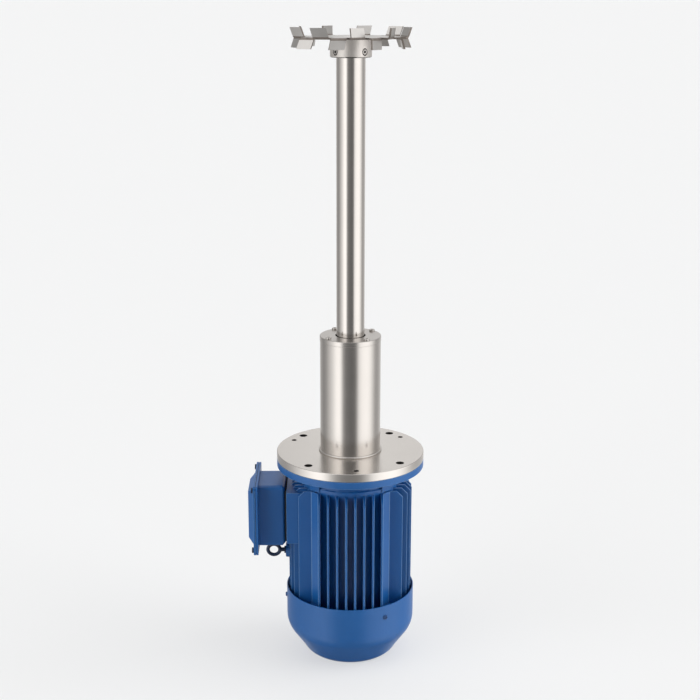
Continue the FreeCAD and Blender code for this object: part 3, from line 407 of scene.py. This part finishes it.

# %% [markdown]
# Along the edges of the castings a light line is painted into the colour of the paint: a painted
# highlight, where a rounded edge catches the light. A mask from the curvature would also lighten
# flat faces. The rounded edges themselves get a second finish instead, a lighter enamel in two
# tones. Several finishes of this mixer are made like it: two tones in patches, a gloss that wears
# unevenly and a grain, so one function makes them all.

# %% Painted highlight on edges
def mottled(name, low, high, patches, roughness, spread, wear, grain, depth, **uniform):
    """Two tones in patches, uneven gloss and a grain. The three noises are given by their scale,
    detail and, where it isn't even, their stretch."""
    finish = Finish(name, **uniform)
    finish.shade("Base Color", finish.tint(finish.noise(*patches), low, high))
    finish.shade("Roughness", roughness + finish.noise(*wear) * spread)
    finish.bump(finish.noise(*grain), depth)
    return finish


# The lighter enamel of the rounded edges is a painted highlight.
edge_highlight_enamel = mottled("enamel_with_painted_edge_highlight",
                      (0.030, 0.140, 0.370, 1.0), (0.110, 0.235, 0.450, 1.0),
                      patches=(120.0, 4.0), roughness=0.22, spread=0.16, wear=(70.0, 3.0),
                      grain=(620.0, 4.0), depth=0.2 * mm, IOR=1.5)
print("edge finish:", edge_highlight_enamel.material.name)

# %% [markdown]
# The eye bolt, the through screws of the motor and the screws of the box lid are almost navy: the
# same paint, thin over blackened steel. Their finish is a darker enamel. The screws of the fan
# cover have the blue paint of the cover, darkened by painted shade to a tone a step lighter than
# the navy.

# %% Dark enamel
dark_enamel = mottled("dark_enamel", (0.006, 0.017, 0.048, 1.0), (0.012, 0.030, 0.075, 1.0),
                      patches=(90.0, 3.0), roughness=0.28, spread=0.2, wear=(400.0, 3.0),
                      grain=(700.0, 4.0), depth=0.2 * mm, IOR=1.5)
# The screws of the fan cover: the blue of the cover, darkened by painted shade.
shaded_screw_enamel = mottled("shaded_screw_enamel", (0.007, 0.045, 0.150, 1.0), (0.012, 0.070, 0.220, 1.0),
                       patches=(90.0, 3.0), roughness=0.22, spread=0.15, wear=(400.0, 3.0),
                       grain=(700.0, 4.0), depth=0.1 * mm, IOR=1.5)
print("dark finishes:", dark_enamel.material.name, shaded_screw_enamel.material.name)

# %% [markdown]
# Turned stainless steel carries the marks of the lathe: fine rings round the axis. Their pattern
# must not care whether the face is flat or round, so the noise is read at the distance from the
# axis and at the height, both stretched to a fraction of a millimetre, and drifts slowly round
# the axis. What one part has and another hasn't is its tone, the pitch of its rings and its
# gloss.

# %% Turned stainless steel
def turned_steel(name, tone, pitch, roughness, depth, warmth=0.045):
    """Steel with rings of a given pitch round the spindle axis."""
    finish = Finish(name, Metallic=1.0)
    drift = 0.6                          # of one ring, round the axis
    tiny = 1e-6                          # keeps the axis itself from a division by nothing
    x, y, z = finish.axes()
    level_spot = finish.node('ShaderNodeCombineXYZ', {}, {0: x, 1: y, 2: 0.0})
    reach = finish.node('ShaderNodeVectorMath', {"operation": 'LENGTH'}, {0: level_spot},
                        output="Value") + tiny
    rings = finish.node('ShaderNodeCombineXYZ', {}, {
        0: reach / pitch + x / reach * drift, 1: z / pitch + y / reach * drift, 2: 0.0})
    grain = finish.node('ShaderNodeTexNoise', {}, {"Vector": rings, "Scale": 1.0, "Detail": 4.0})
    cloud = finish.noise(22.0, 3.0)
    level = grain * 0.55 + cloud * 0.45
    finish.shade("Base Color", finish.tint(level, grey(tone * 0.90, warmth),
                                           grey(tone * 1.08, warmth)))
    finish.shade("Roughness", roughness - 0.05 + level * 0.12)
    finish.bump(grain, depth, 0.6)
    return finish


# Tone, pitch of the rings, roughness, depth of the rings, and warmth where it isn't the usual one.
flange_steel = turned_steel("turned_stainless_flange", 0.71, 0.45 * mm, 0.22, 0.02 * mm)
rim_steel = turned_steel("turned_stainless_rim", 0.76, 0.30 * mm, 0.31, 0.02 * mm)
cap_steel = turned_steel("turned_stainless_cap", 0.53, 0.35 * mm, 0.28, 0.02 * mm)
# Drilled walls: rough, and nearly black, with the shade inside a hole painted into the tone.
shaded_bore_steel = turned_steel("drilled_steel_with_painted_shade", 0.10, 0.30 * mm, 0.50, 0.05 * mm)
tube_steel = turned_steel("satin_stainless_tube", 0.66, 0.30 * mm, 0.20, 0.012 * mm)
spindle_steel = turned_steel("ground_stainless_spindle", 0.69, 0.20 * mm, 0.15, 0.008 * mm)
hub_steel = turned_steel("turned_stainless_hub", 0.77, 0.35 * mm, 0.46, 0.02 * mm)
screw_steel = turned_steel("stainless_screw_steel", 0.60, 0.25 * mm, 0.30, 0.02 * mm)
shaft_steel = turned_steel("ground_shaft_steel", 0.50, 0.25 * mm, 0.30, 0.01 * mm, 0.0)
bearing_steel = turned_steel("bearing_ring_steel", 0.48, 0.2 * mm, 0.22, 0.008 * mm, 0.0)
print("materials so far:", len(bpy.data.materials))

# %% [markdown]
# The disc is cut and bent from rolled sheet. Rolling leaves straight fine lines, and handling
# leaves soft clouds. So its noise is stretched along one direction, with a few short scratches
# on top. The cut edges are browner and duller than the sheet, from the heat of the laser.

# %% Rolled stainless sheet
disc_steel = Finish("rolled_stainless_sheet", Metallic=1.0)
rolled = disc_steel.noise(1.0, 4.0, (60, 2600, 60))
scratch = disc_steel.noise(1.0, 2.0, (1800, 90, 1800))
cloud = disc_steel.noise(30.0)
disc_steel.shade("Base Color", disc_steel.tint(cloud * 0.6 + rolled * 0.4, grey(0.52, 0.03),
                                               grey(0.68, 0.025)))
disc_steel.shade("Roughness", 0.30 + cloud * 0.12 + scratch * 0.06)
disc_steel.bump(rolled * 0.6 + scratch * 0.4, 0.02 * mm, 0.6)

cut_edge_steel = mottled("burnt_cut_edge", (0.17, 0.145, 0.13, 1.0), (0.38, 0.34, 0.31, 1.0),
                         patches=(160.0, 4.0), roughness=0.46, spread=0.2, wear=(260.0, 3.0),
                         grain=(1.0, 3.0, (2400, 2400, 200)), depth=0.06 * mm, Metallic=0.9)
print("sheet finishes:", disc_steel.material.name, cut_edge_steel.material.name)

# %% [markdown]
# The small parts: blackened screws, moulded plastic, rubber gaskets, varnished windings and the
# stack of electrical sheet. Most of them lie inside, but each has the detail that it would show
# when opened. The windings are lines of wire under a clear coat. The stack is a wave along the
# axis, because its sheets are all of one thickness.

# %% Finishes of the small parts
black_steel = mottled("blackened_steel", grey(0.018), grey(0.045),
                      patches=(200.0, 3.0), roughness=0.32, spread=0.2, wear=(500.0, 3.0),
                      grain=(900.0, 3.0), depth=0.05 * mm, Metallic=0.6)
plastic = mottled("moulded_black_plastic", grey(0.016), grey(0.026),
                  patches=(60.0, 3.0), roughness=0.42, spread=0.15, wear=(300.0, 3.0),
                  grain=(1500.0, 2.0), depth=0.06 * mm, IOR=1.5)
rubber = mottled("black_rubber", grey(0.012), grey(0.022),
                 patches=(120.0, 3.0), roughness=0.72, spread=0.2, wear=(300.0, 3.0),
                 grain=(900.0, 3.0), depth=0.08 * mm, IOR=1.45)

copper = Finish("varnished_copper", IOR=1.5, Coat_Weight=0.6)
strands = copper.noise(1.0, 3.0, (60, 60, 900))
copper.shade("Base Color", copper.tint(strands, (0.16, 0.045, 0.015, 1.0), (0.44, 0.17, 0.07, 1.0)))
copper.shade("Roughness", 0.28 + strands * 0.2)
copper.bump(strands, 0.8 * mm)

laminations = Finish("stacked_sheet", Metallic=0.8)
stack = laminations.node('ShaderNodeTexWave', {"bands_direction": 'Z'},
                         {"Vector": laminations.place(), "Scale": 320.0, "Distortion": 0.2})
laminations.shade("Base Color", laminations.tint(stack, grey(0.10), grey(0.24)))
laminations.shade("Roughness", 0.45 + laminations.noise(200.0) * 0.2)
laminations.bump(stack, 0.1 * mm)
print("materials:", len(bpy.data.materials))

# %% [markdown]
# Most parts keep the shape of the CAD model and only need what a real edge has: a small rounding
# that catches the light. Modelling them again would lose their exact sizes. So a copy of the CAD
# mesh has its loose triangles joined and its flat faces merged. The record of the CAD model
# tells which body a part moves with and which kind of material it has.

# %% Copy a CAD node
merge_distance = 2e-6
flat_angle = math.radians(0.4)           # faces that differ by less are one face

body_of_node = {}
for body, members in frame["record"]["behaviour"]["bodies"].items():
    for member in members:
        body_of_node[member] = body


def only(item):
    """Select one object and make it the active one."""
    bpy.ops.object.select_all(action='DESELECT')
    item.hide_set(False)
    item.select_set(True)
    bpy.context.view_layer.objects.active = item


def joined_copy(node, name):
    """A copy of a CAD node's mesh with its triangles joined and its flat faces merged."""
    only(frame["nodes"][node])
    bpy.ops.object.duplicate()
    piece = bpy.context.object
    piece.name = name
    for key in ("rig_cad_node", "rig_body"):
        del piece[key]
    bpy.ops.object.mode_set(mode='EDIT')
    bpy.ops.mesh.select_all(action='SELECT')
    bpy.ops.mesh.remove_doubles(threshold=merge_distance)
    bpy.ops.mesh.dissolve_limited(angle_limit=flat_angle)
    bpy.ops.object.mode_set(mode='OBJECT')
    return piece


# %% [markdown]
# The rounding is a bevel. A bevel that isn't allowed to overlap shrinks everywhere to what the
# tightest spot of the mesh can hold. So weights choose the edges: only sharp ones that have room
# at both ends and are longer than a given length.

# %% Choose the edges
sharp_angle = 32                         # degrees between two faces
room_share = 1.25                        # room that an edge needs at its ends, in bevel widths


def mark_roomy_edges(piece, width, shortest):
    """Weight the sharp edges that have room for a bevel."""
    mesh = piece.data
    length_of = {}
    room = [1.0] * len(mesh.vertices)
    for edge in mesh.edges:
        a, b = edge.vertices
        length_of[edge.key] = (mesh.vertices[a].co - mesh.vertices[b].co).length
        room[a] = min(room[a], length_of[edge.key])
        room[b] = min(room[b], length_of[edge.key])
    beside = {}
    for face in mesh.polygons:
        for key in face.edge_keys:
            beside.setdefault(key, []).append(face.normal)
    flattest = math.cos(math.radians(sharp_angle))
    weights = []
    for edge in mesh.edges:
        normals = beside.get(edge.key, [])
        sharp = len(normals) == 2 and normals[0].dot(normals[1]) < flattest
        roomy = min(room[edge.vertices[0]], room[edge.vertices[1]]) > room_share * width
        weights.append(1.0 if sharp and roomy and length_of[edge.key] > shortest else 0.0)
    layer = mesh.attributes.new("bevel_weight_edge", 'FLOAT', 'EDGE')
    layer.data.foreach_set("value", weights)


print("edges sharper than", sharp_angle, "degrees are rounded")

# %% [markdown]
# The bevel has the size of the real edge: about a millimetre on a casting and a few tenths on
# turned or drawn metal. On castings only the long edges are rounded, and they keep their full
# width. Curves are shaded smooth, and weighted normals keep the flat faces flat beside them.

# %% Round the edges
smooth_angle = 35
bevel_segments = 2
long_share = 6                           # length of a long edge, in bevel widths


def soften(piece, width, edge_slot=-1):
    """Round the sharp edges of a piece and shade its curves smooth. A piece whose edges have a
    finish of their own, in a material slot, is a casting."""
    casting = edge_slot > 0
    only(piece)
    if width:
        mark_roomy_edges(piece, width, long_share * width if casting else 0)
        bevel = piece.modifiers.new("edge", 'BEVEL')
        bevel.width = width
        bevel.segments = bevel_segments
        bevel.limit_method = 'WEIGHT'
        bevel.use_clamp_overlap = not casting
        bevel.material = edge_slot
        bpy.ops.object.modifier_apply(modifier=bevel.name)
    bpy.ops.object.shade_smooth_by_angle(angle=math.radians(smooth_angle))
    even = piece.modifiers.new("even", 'WEIGHTED_NORMAL')
    even.keep_sharp = True
    even.weight = 100
    bpy.ops.object.modifier_apply(modifier=even.name)


print("a bevel has", bevel_segments, "segments")

# %% [markdown]
# A finished piece takes the place of its CAD node. It says so in three lines: which node it
# replaces, which body carries it, and which kind of material it is.

# %% Refine a CAD node
def stand_for(piece, finish, *nodes):
    """The piece takes the place of CAD nodes: their body and a finish."""
    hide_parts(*nodes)
    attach(piece, body_of_node[nodes[0]])
    finish.paint(piece)


def refine(node, finish, width, edge_finish=None):
    """A finished copy of a CAD node, with rounded edges of a given width."""
    piece = joined_copy(node, node + "_finished")
    before = len(piece.data.polygons)
    stand_for(piece, finish, node)
    if edge_finish:
        piece.data.materials.append(edge_finish.material)
    soften(piece, width, edge_slot=1 if edge_finish else -1)
    print(piece.name, "faces", before, "->", len(piece.data.polygons))
    return piece


# %% [markdown]
# The castings come first: the finned housing, both endshields and the terminal box. Sand-cast edges
# are well rounded, and a painted highlight, a light line along each of them, is what makes fins
# look cast and not sawn. The fan cover is drawn from sheet and painted alike all over.

# %% Castings and sheet of the motor
for node in ("stator_housing", "rear_endshield", "drive_endshield", "terminal_box_base"):
    refine(node, cast_enamel, width=0.8 * mm, edge_finish=edge_highlight_enamel)
refine("fan_cover", sheet_enamel, width=0.3 * mm)
# The edges of the lid get the painted highlight too.
refine("terminal_box_lid", sheet_enamel, width=0.6 * mm, edge_finish=edge_highlight_enamel)

# %% [markdown]
# The stainless parts are turned or cut from sheet. Their edges are only broken, by a few tenths
# of a millimetre. The ends of the tube and of the cap ring are broken most, and show a fine
# bright line.

# %% Stainless parts
flange = refine("mounting_flange", flange_steel, 0.25 * mm)
refine("housing_tube", tube_steel, 0.45 * mm)
cap = refine("cap_ring", cap_steel, 0.45 * mm)
refine("bearing_carrier", tube_steel, 0.2 * mm)
refine("spindle", spindle_steel, 0.2 * mm)
hub = refine("blade_hub", hub_steel, 0.3 * mm)
disc = refine("dispersing_disc", disc_steel, 0.15 * mm)
for k in range(4):
    refine("cap_screw_%d" % (k + 1), screw_steel, 0.15 * mm)

# %% [markdown]
# The disc was cut by laser, and the cut leaves its edges darker and browner than the rolled
# faces. An edge face is a long narrow strip, so its area is less than its outline times half the
# thickness of the sheet. The strips get the burnt finish. Choosing faces by a test in code does
# what picking them by hand would, and finds all of them on every tooth.

# %% Burnt edges of the disc
strip_share = 1.45 * mm                  # a little less than half of the 3 mm sheet
level_normal = 0.95                      # faces above this look up or down


def add_finish(piece, finish, chosen):
    """Give a further finish to the faces that pass a test."""
    piece.data.materials.append(finish.material)
    faces = [face for face in piece.data.polygons if chosen(face)]
    for face in faces:
        face.material_index = len(piece.data.materials) - 1
    print(finish.material.name, "on", len(faces), "of", len(piece.data.polygons), "faces of",
          piece.name)


def is_strip(face):
    corners = [disc.data.vertices[k].co for k in face.vertices]
    outline = sum((a - b).length for a, b in zip(corners, corners[1:] + corners[:1]))
    return face.area / outline < strip_share and abs(face.normal.z) < level_normal


add_finish(disc, cut_edge_steel, is_strip)

# %% [markdown]
# A drilled hole looks dark from above: its wall is rough and sees little light. The walls of the
# bolt holes get a dull finish of nearly black steel, which paints that shade into their colour.
# They are the upright faces that lie between the tube and the edge of the flange. The rim outside
# was turned with another feed than the top and is a step duller.

# %% Bolt holes and rim of the flange
upright_normal = 0.5                     # faces below this stand upright
tube_clear = 60 * mm                     # just outside the tube
rim_margin = 5 * mm                      # the holes lie further in than this
rim_skin = 1 * mm                        # the rim lies further out than this
flange_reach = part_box("mounting_flange")[1][0]


def reach(face):
    """How far a face lies from the axis."""
    return math.hypot(face.center.x, face.center.y)


def is_upright(face):
    return abs(face.normal.z) < upright_normal


# The walls of the bolt holes take the painted shade.
add_finish(flange, shaded_bore_steel,
           lambda face: is_upright(face) and tube_clear < reach(face) < flange_reach - rim_margin)
add_finish(flange, rim_steel,
           lambda face: is_upright(face) and reach(face) > flange_reach - rim_skin)

# %% [markdown]
# The cap ring was faced on top with a coarser cut than its outer wall, which was turned together
# with the tube and has the same shine.

# %% Outer wall of the cap ring
cap_skin = 0.5 * mm
cap_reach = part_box("cap_ring")[1][0]
add_finish(cap, tube_steel,
           lambda face: is_upright(face) and reach(face) > cap_reach - cap_skin)

# %% [markdown]
# The last parts are small or lie inside. The list gives each group its finish and the width of
# its broken edges, and the loop refines them all.

# %% Small and inner parts
small_parts = [
    (shaded_screw_enamel, 0.3 * mm, ["fan_cover_screw_1", "fan_cover_screw_2", "fan_cover_screw_3"]),
    (dark_enamel, 0.2 * mm, ["lid_screw_1", "lid_screw_2", "lid_screw_3", "lid_screw_4"]),
    (black_steel, 0.15 * mm, ["box_screw_1", "box_screw_2", "coupling_screw",
                              "flange_screw_1", "flange_screw_2", "flange_screw_3"]),
    (dark_enamel, 0.15 * mm, ["tie_bolt_1", "tie_bolt_2", "tie_bolt_3", "tie_bolt_4"]),
    (plastic, 0.4 * mm, ["terminal_board", "cooling_fan", "cable_gland", "gland_nut",
                         "blanking_plug"]),
    (rubber, 0.1 * mm, ["terminal_box_gasket", "gland_seal", "lip_seal"]),
    (bearing_steel, 0.3 * mm, ["rear_bearing_outer", "drive_bearing_outer", "guide_bearing_outer",
                               "rear_bearing_inner", "drive_bearing_inner", "guide_bearing_inner"]),
    (shaft_steel, 0.2 * mm, ["motor_shaft", "shaft_key", "fan_clip"]),
    (laminations, 0.2 * mm, ["stator_core", "rotor"]),
    (copper, 2.0 * mm, ["winding_lower", "winding_upper"]),
]
for finish, width, names in small_parts:
    for node in names:
        refine(node, finish, width)

# %% [markdown]
# Forged and welded metal has no sharp corner at all. Boolean unions of simple shapes would leave
# hard seams. Instead such shapes are joined and given one new skin of small voxels, which is
# then smoothed.

# %% One skin over several shapes
skin_voxel = 0.35 * mm


def placed(name):
    """Apply the place of the newest primitive to its mesh and name it."""
    bpy.ops.object.transform_apply(location=True, rotation=True, scale=True)
    bpy.context.object.name = name
    return bpy.context.object


def round_bar(name, radius, start, end, height):
    """A plain round bar along X, from one x to another."""
    bpy.ops.object.select_all(action='DESELECT')
    bpy.ops.mesh.primitive_cylinder_add(vertices=48, radius=radius, depth=end - start,
                                        location=((start + end) / 2, 0, height),
                                        rotation=(0, math.pi / 2, 0))
    return placed(name)


def one_skin(name, parts, rounds):
    """Join parts, give them one skin and smooth it a number of rounds."""
    only(parts[0])
    for part in parts:
        part.select_set(True)
    bpy.ops.object.join()
    piece = bpy.context.object
    piece.name = name
    skin = piece.modifiers.new("skin", 'REMESH')
    skin.mode = 'VOXEL'
    skin.voxel_size = skin_voxel
    skin.use_smooth_shade = True
    bpy.ops.object.modifier_apply(modifier=skin.name)
    smooth = piece.modifiers.new("smooth", 'SMOOTH')
    smooth.factor = 0.6
    smooth.iterations = rounds
    bpy.ops.object.modifier_apply(modifier=smooth.name)
    print(name, "faces", len(piece.data.polygons))
    return piece


print("skins have voxels of", round(skin_voxel / mm, 2), "mm")

# %% [markdown]
# The eye bolt lifts the motor. It is forged: the ring flows into the shank through wide fillets.
# A ring, a neck, a collar and a shank are laid into each other, and the skin makes the fillets,
# as a forging die leaves them.

# %% Forged eye bolt
eye_low, eye_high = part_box("eye_bolt")
eye_radius = (eye_high[2] - eye_low[2]) / 2
eye_section = 3.2 * mm                   # radius of the ring's bar
eye_squash = 0.93                        # the ring is a little flat
eye_x = eye_low[0] + eye_radius
eye_z = (eye_low[2] + eye_high[2]) / 2
neck_start = eye_x + eye_radius - 3.5 * mm
shoulder = eye_x + eye_radius + 4.5 * mm
collar_end = shoulder + 3 * mm
bpy.ops.object.select_all(action='DESELECT')
bpy.ops.mesh.primitive_torus_add(
    major_radius=eye_radius - eye_section, minor_radius=eye_section, major_segments=72,
    minor_segments=24, location=(eye_x, 0, eye_z), rotation=(math.pi / 2, 0, 0))
bpy.ops.object.mode_set(mode='EDIT')
bpy.ops.transform.resize(value=(1.0, 1.0, eye_squash), center_override=(eye_x, 0, eye_z))
bpy.ops.object.mode_set(mode='OBJECT')
eye_parts = [
    placed("eye_loop"),
    round_bar("eye_neck", 3.6 * mm, neck_start, shoulder, eye_z),
    round_bar("eye_collar", 6.4 * mm, shoulder, collar_end, eye_z),
    round_bar("eye_shank", 3.9 * mm, shoulder + 1 * mm, eye_high[0], eye_z),
]
eye_bolt = one_skin("forged_eye_bolt", eye_parts, rounds=6)
stand_for(eye_bolt, dark_enamel, "eye_bolt")

# %% [markdown]
# The weld round the foot of the tube is a chain of frozen drops, laid one over the other. One
# drop is modelled as a flattened ball, leaned as the torch leaves it, and copied round the tube.
# Then the chain gets one skin as well, so that the ripples stay but the drops have run together.

# %% Weld bead
bead_low, bead_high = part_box("weld_bead")
bead_height = bead_high[2] - bead_low[2]
drop_count = 120
drop_reach = bead_high[0] - 0.80 * bead_height
drop_half_sizes = (0.62 * bead_height, 3.0 * mm, 0.50 * bead_height)
drop_lean = math.radians(45)
drop_centre = (drop_reach, 0, bead_low[2] + 0.38 * bead_height)

bpy.ops.object.select_all(action='DESELECT')
bpy.ops.mesh.primitive_uv_sphere_add(segments=16, ring_count=10, radius=1.0, location=drop_centre)
bpy.ops.object.mode_set(mode='EDIT')
bpy.ops.transform.resize(value=drop_half_sizes, center_override=drop_centre)
bpy.ops.transform.rotate(value=drop_lean, orient_axis='Y', center_override=drop_centre)
bpy.ops.object.mode_set(mode='OBJECT')
first_drop = placed("weld_drop")
drops = []
for k in range(drop_count):
    drop = first_drop.copy()
    drop.data = first_drop.data.copy()
    drop.data.transform(Matrix.Rotation(2 * math.pi * k / drop_count, 4, 'Z'))
    bpy.context.collection.objects.link(drop)
    drops.append(drop)
bpy.data.objects.remove(first_drop)
bead = one_skin("rippled_weld_bead", drops, rounds=1)
stand_for(bead, tube_steel, "weld_bead")

# %% [markdown]
# The gasket under the terminal box is thick soft rubber. Once the box is pulled down it fills
# the whole gap between box and pad and shows as a dark line. It starts as a block. The rebate
# for the foot of the box and the window for the cables could be inset and extruded, but it is
# simpler to cut two more blocks out of it, and each cut is one measured box.

# %% Gasket under the terminal box
def cuboid(name, low, high):
    """A block between two corners."""
    bpy.ops.object.select_all(action='DESELECT')
    bpy.ops.mesh.primitive_cube_add(size=1.0, location=[(a + b) / 2 for a, b in zip(low, high)],
                                    scale=[b - a for a, b in zip(low, high)])
    return placed(name)


def cut(piece, tool):
    """Take the tool's shape out of the piece."""
    only(piece)
    taking = piece.modifiers.new("cut", 'BOOLEAN')
    taking.operation = 'DIFFERENCE'
    taking.solver = 'EXACT'
    taking.object = tool
    bpy.ops.object.modifier_apply(modifier=taking.name)
    bpy.data.objects.remove(tool)


pad_low, pad_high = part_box("pad_gasket")
box_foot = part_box("terminal_box_base")[1][0]
gasket_half = (41 * mm, 45.5 * mm)       # half its width and half its height
gasket_lap = 1.1 * mm                    # how far it reaches up round the foot of the box
window_half = 14 * mm
past = 5 * mm                            # what a cut goes beyond the block
clear = 0.2 * mm
middle = (pad_low[2] + pad_high[2]) / 2
gasket = cuboid("soft_pad_gasket",
                (box_foot - gasket_lap, -gasket_half[0], middle - gasket_half[1]),
                (pad_high[0], gasket_half[0], middle + gasket_half[1]))
cut(gasket, cuboid("rebate",
                   (box_foot - past, pad_low[1] - clear, pad_low[2] - clear),
                   (pad_low[0], pad_high[1] + clear, pad_high[2] + clear)))
cut(gasket, cuboid("cable_window",
                   (box_foot - past, -window_half, middle - window_half),
                   (pad_high[0] + past, window_half, middle + window_half)))
soften(gasket, 0.3 * mm)
stand_for(gasket, rubber, "pad_gasket")
print("gasket", tuple(round(v / mm, 1) for v in gasket.dimensions))

# %% [markdown]
# Two set screws hold the hub on the spindle. Each sits in a hole with a wide chamfer, so it
# shows as a bright ring with a dark hexagon. Hole and chamfer are cut into the hub with a bar
# and a cone. The screw starts as a short bar, a second cut takes out its hexagon socket, and its
# edge is broken.

# %% Hub set screws
hub_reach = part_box("blade_hub")[1][0]
# Bars and cones in millimetres: start and end from the wall of the hub, radius at both, sides.
hole_bar = (-8.0, 2.0, 5.4, 5.4, 48)
chamfer_cone = (-0.7, 0.6, 5.3, 6.6, 48)
screw_bar = (-7.5, -0.3, 4.0, 4.0, 48)
socket_bar = (-4.5, 1.0, 2.3, 2.3, 6)
socket_inside = 2.25 * mm                # faces nearer to the screw's axis than this
socket_below = 0.5 * mm                  # and deeper than this under the wall are the socket's


def aimed_bar(name, profile, centre, outwards):
    """A bar or cone along a level direction from a centre on the axis."""
    start, end, start_radius, end_radius, sides = profile
    middle = hub_reach + (start + end) / 2 * mm
    bpy.ops.object.select_all(action='DESELECT')
    bpy.ops.mesh.primitive_cone_add(
        vertices=sides, radius1=start_radius * mm, radius2=end_radius * mm,
        depth=(end - start) * mm, location=centre + outwards * middle,
        rotation=outwards.to_track_quat('Z', 'Y').to_euler())
    return placed(name)


def in_socket(face, centre, outwards):
    along = face.center.dot(outwards)
    beside = (face.center - centre - outwards * along).length
    return beside < socket_inside and hub_reach - along > socket_below


for node in ("hub_set_screw_1", "hub_set_screw_2"):
    low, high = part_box(node)
    centre = Vector((0, 0, (low[2] + high[2]) / 2))
    outwards = Vector(((low[0] + high[0]) / 2, (low[1] + high[1]) / 2, 0)).normalized()
    cut(hub, aimed_bar("hole", hole_bar, centre, outwards))
    cut(hub, aimed_bar("chamfer", chamfer_cone, centre, outwards))
    screw = aimed_bar(node + "_finished", screw_bar, centre, outwards)
    cut(screw, aimed_bar("socket", socket_bar, centre, outwards))
    soften(screw, 0.2 * mm)
    stand_for(screw, screw_steel, node)
    # The walls of the hexagon socket get the nearly black bore finish: painted shade.
    add_finish(screw, shaded_bore_steel, lambda face: in_socket(face, centre, outwards))

# %% [markdown]
# The walls of the two holes in the hub are dull and nearly black, as in the flange: the shade
# inside a hole is painted into their colour. They are the faces inside the wall of the hub that
# aren't level and don't look straight outwards.

# %% Dull walls of the screw holes, with painted shade
hub_level_normal = 0.98                  # faces above this look up or down
outward_share = 0.8                      # faces above this look away from the axis
hub_skin = 0.7 * mm


def in_hub_hole(face):
    outward = face.normal.dot(face.center.xy.to_3d())
    return (abs(face.normal.z) < hub_level_normal and reach(face) < hub_reach - hub_skin
            and outward < outward_share * reach(face))


soften(hub, 0)
add_finish(hub, shaded_bore_steel, in_hub_hole)
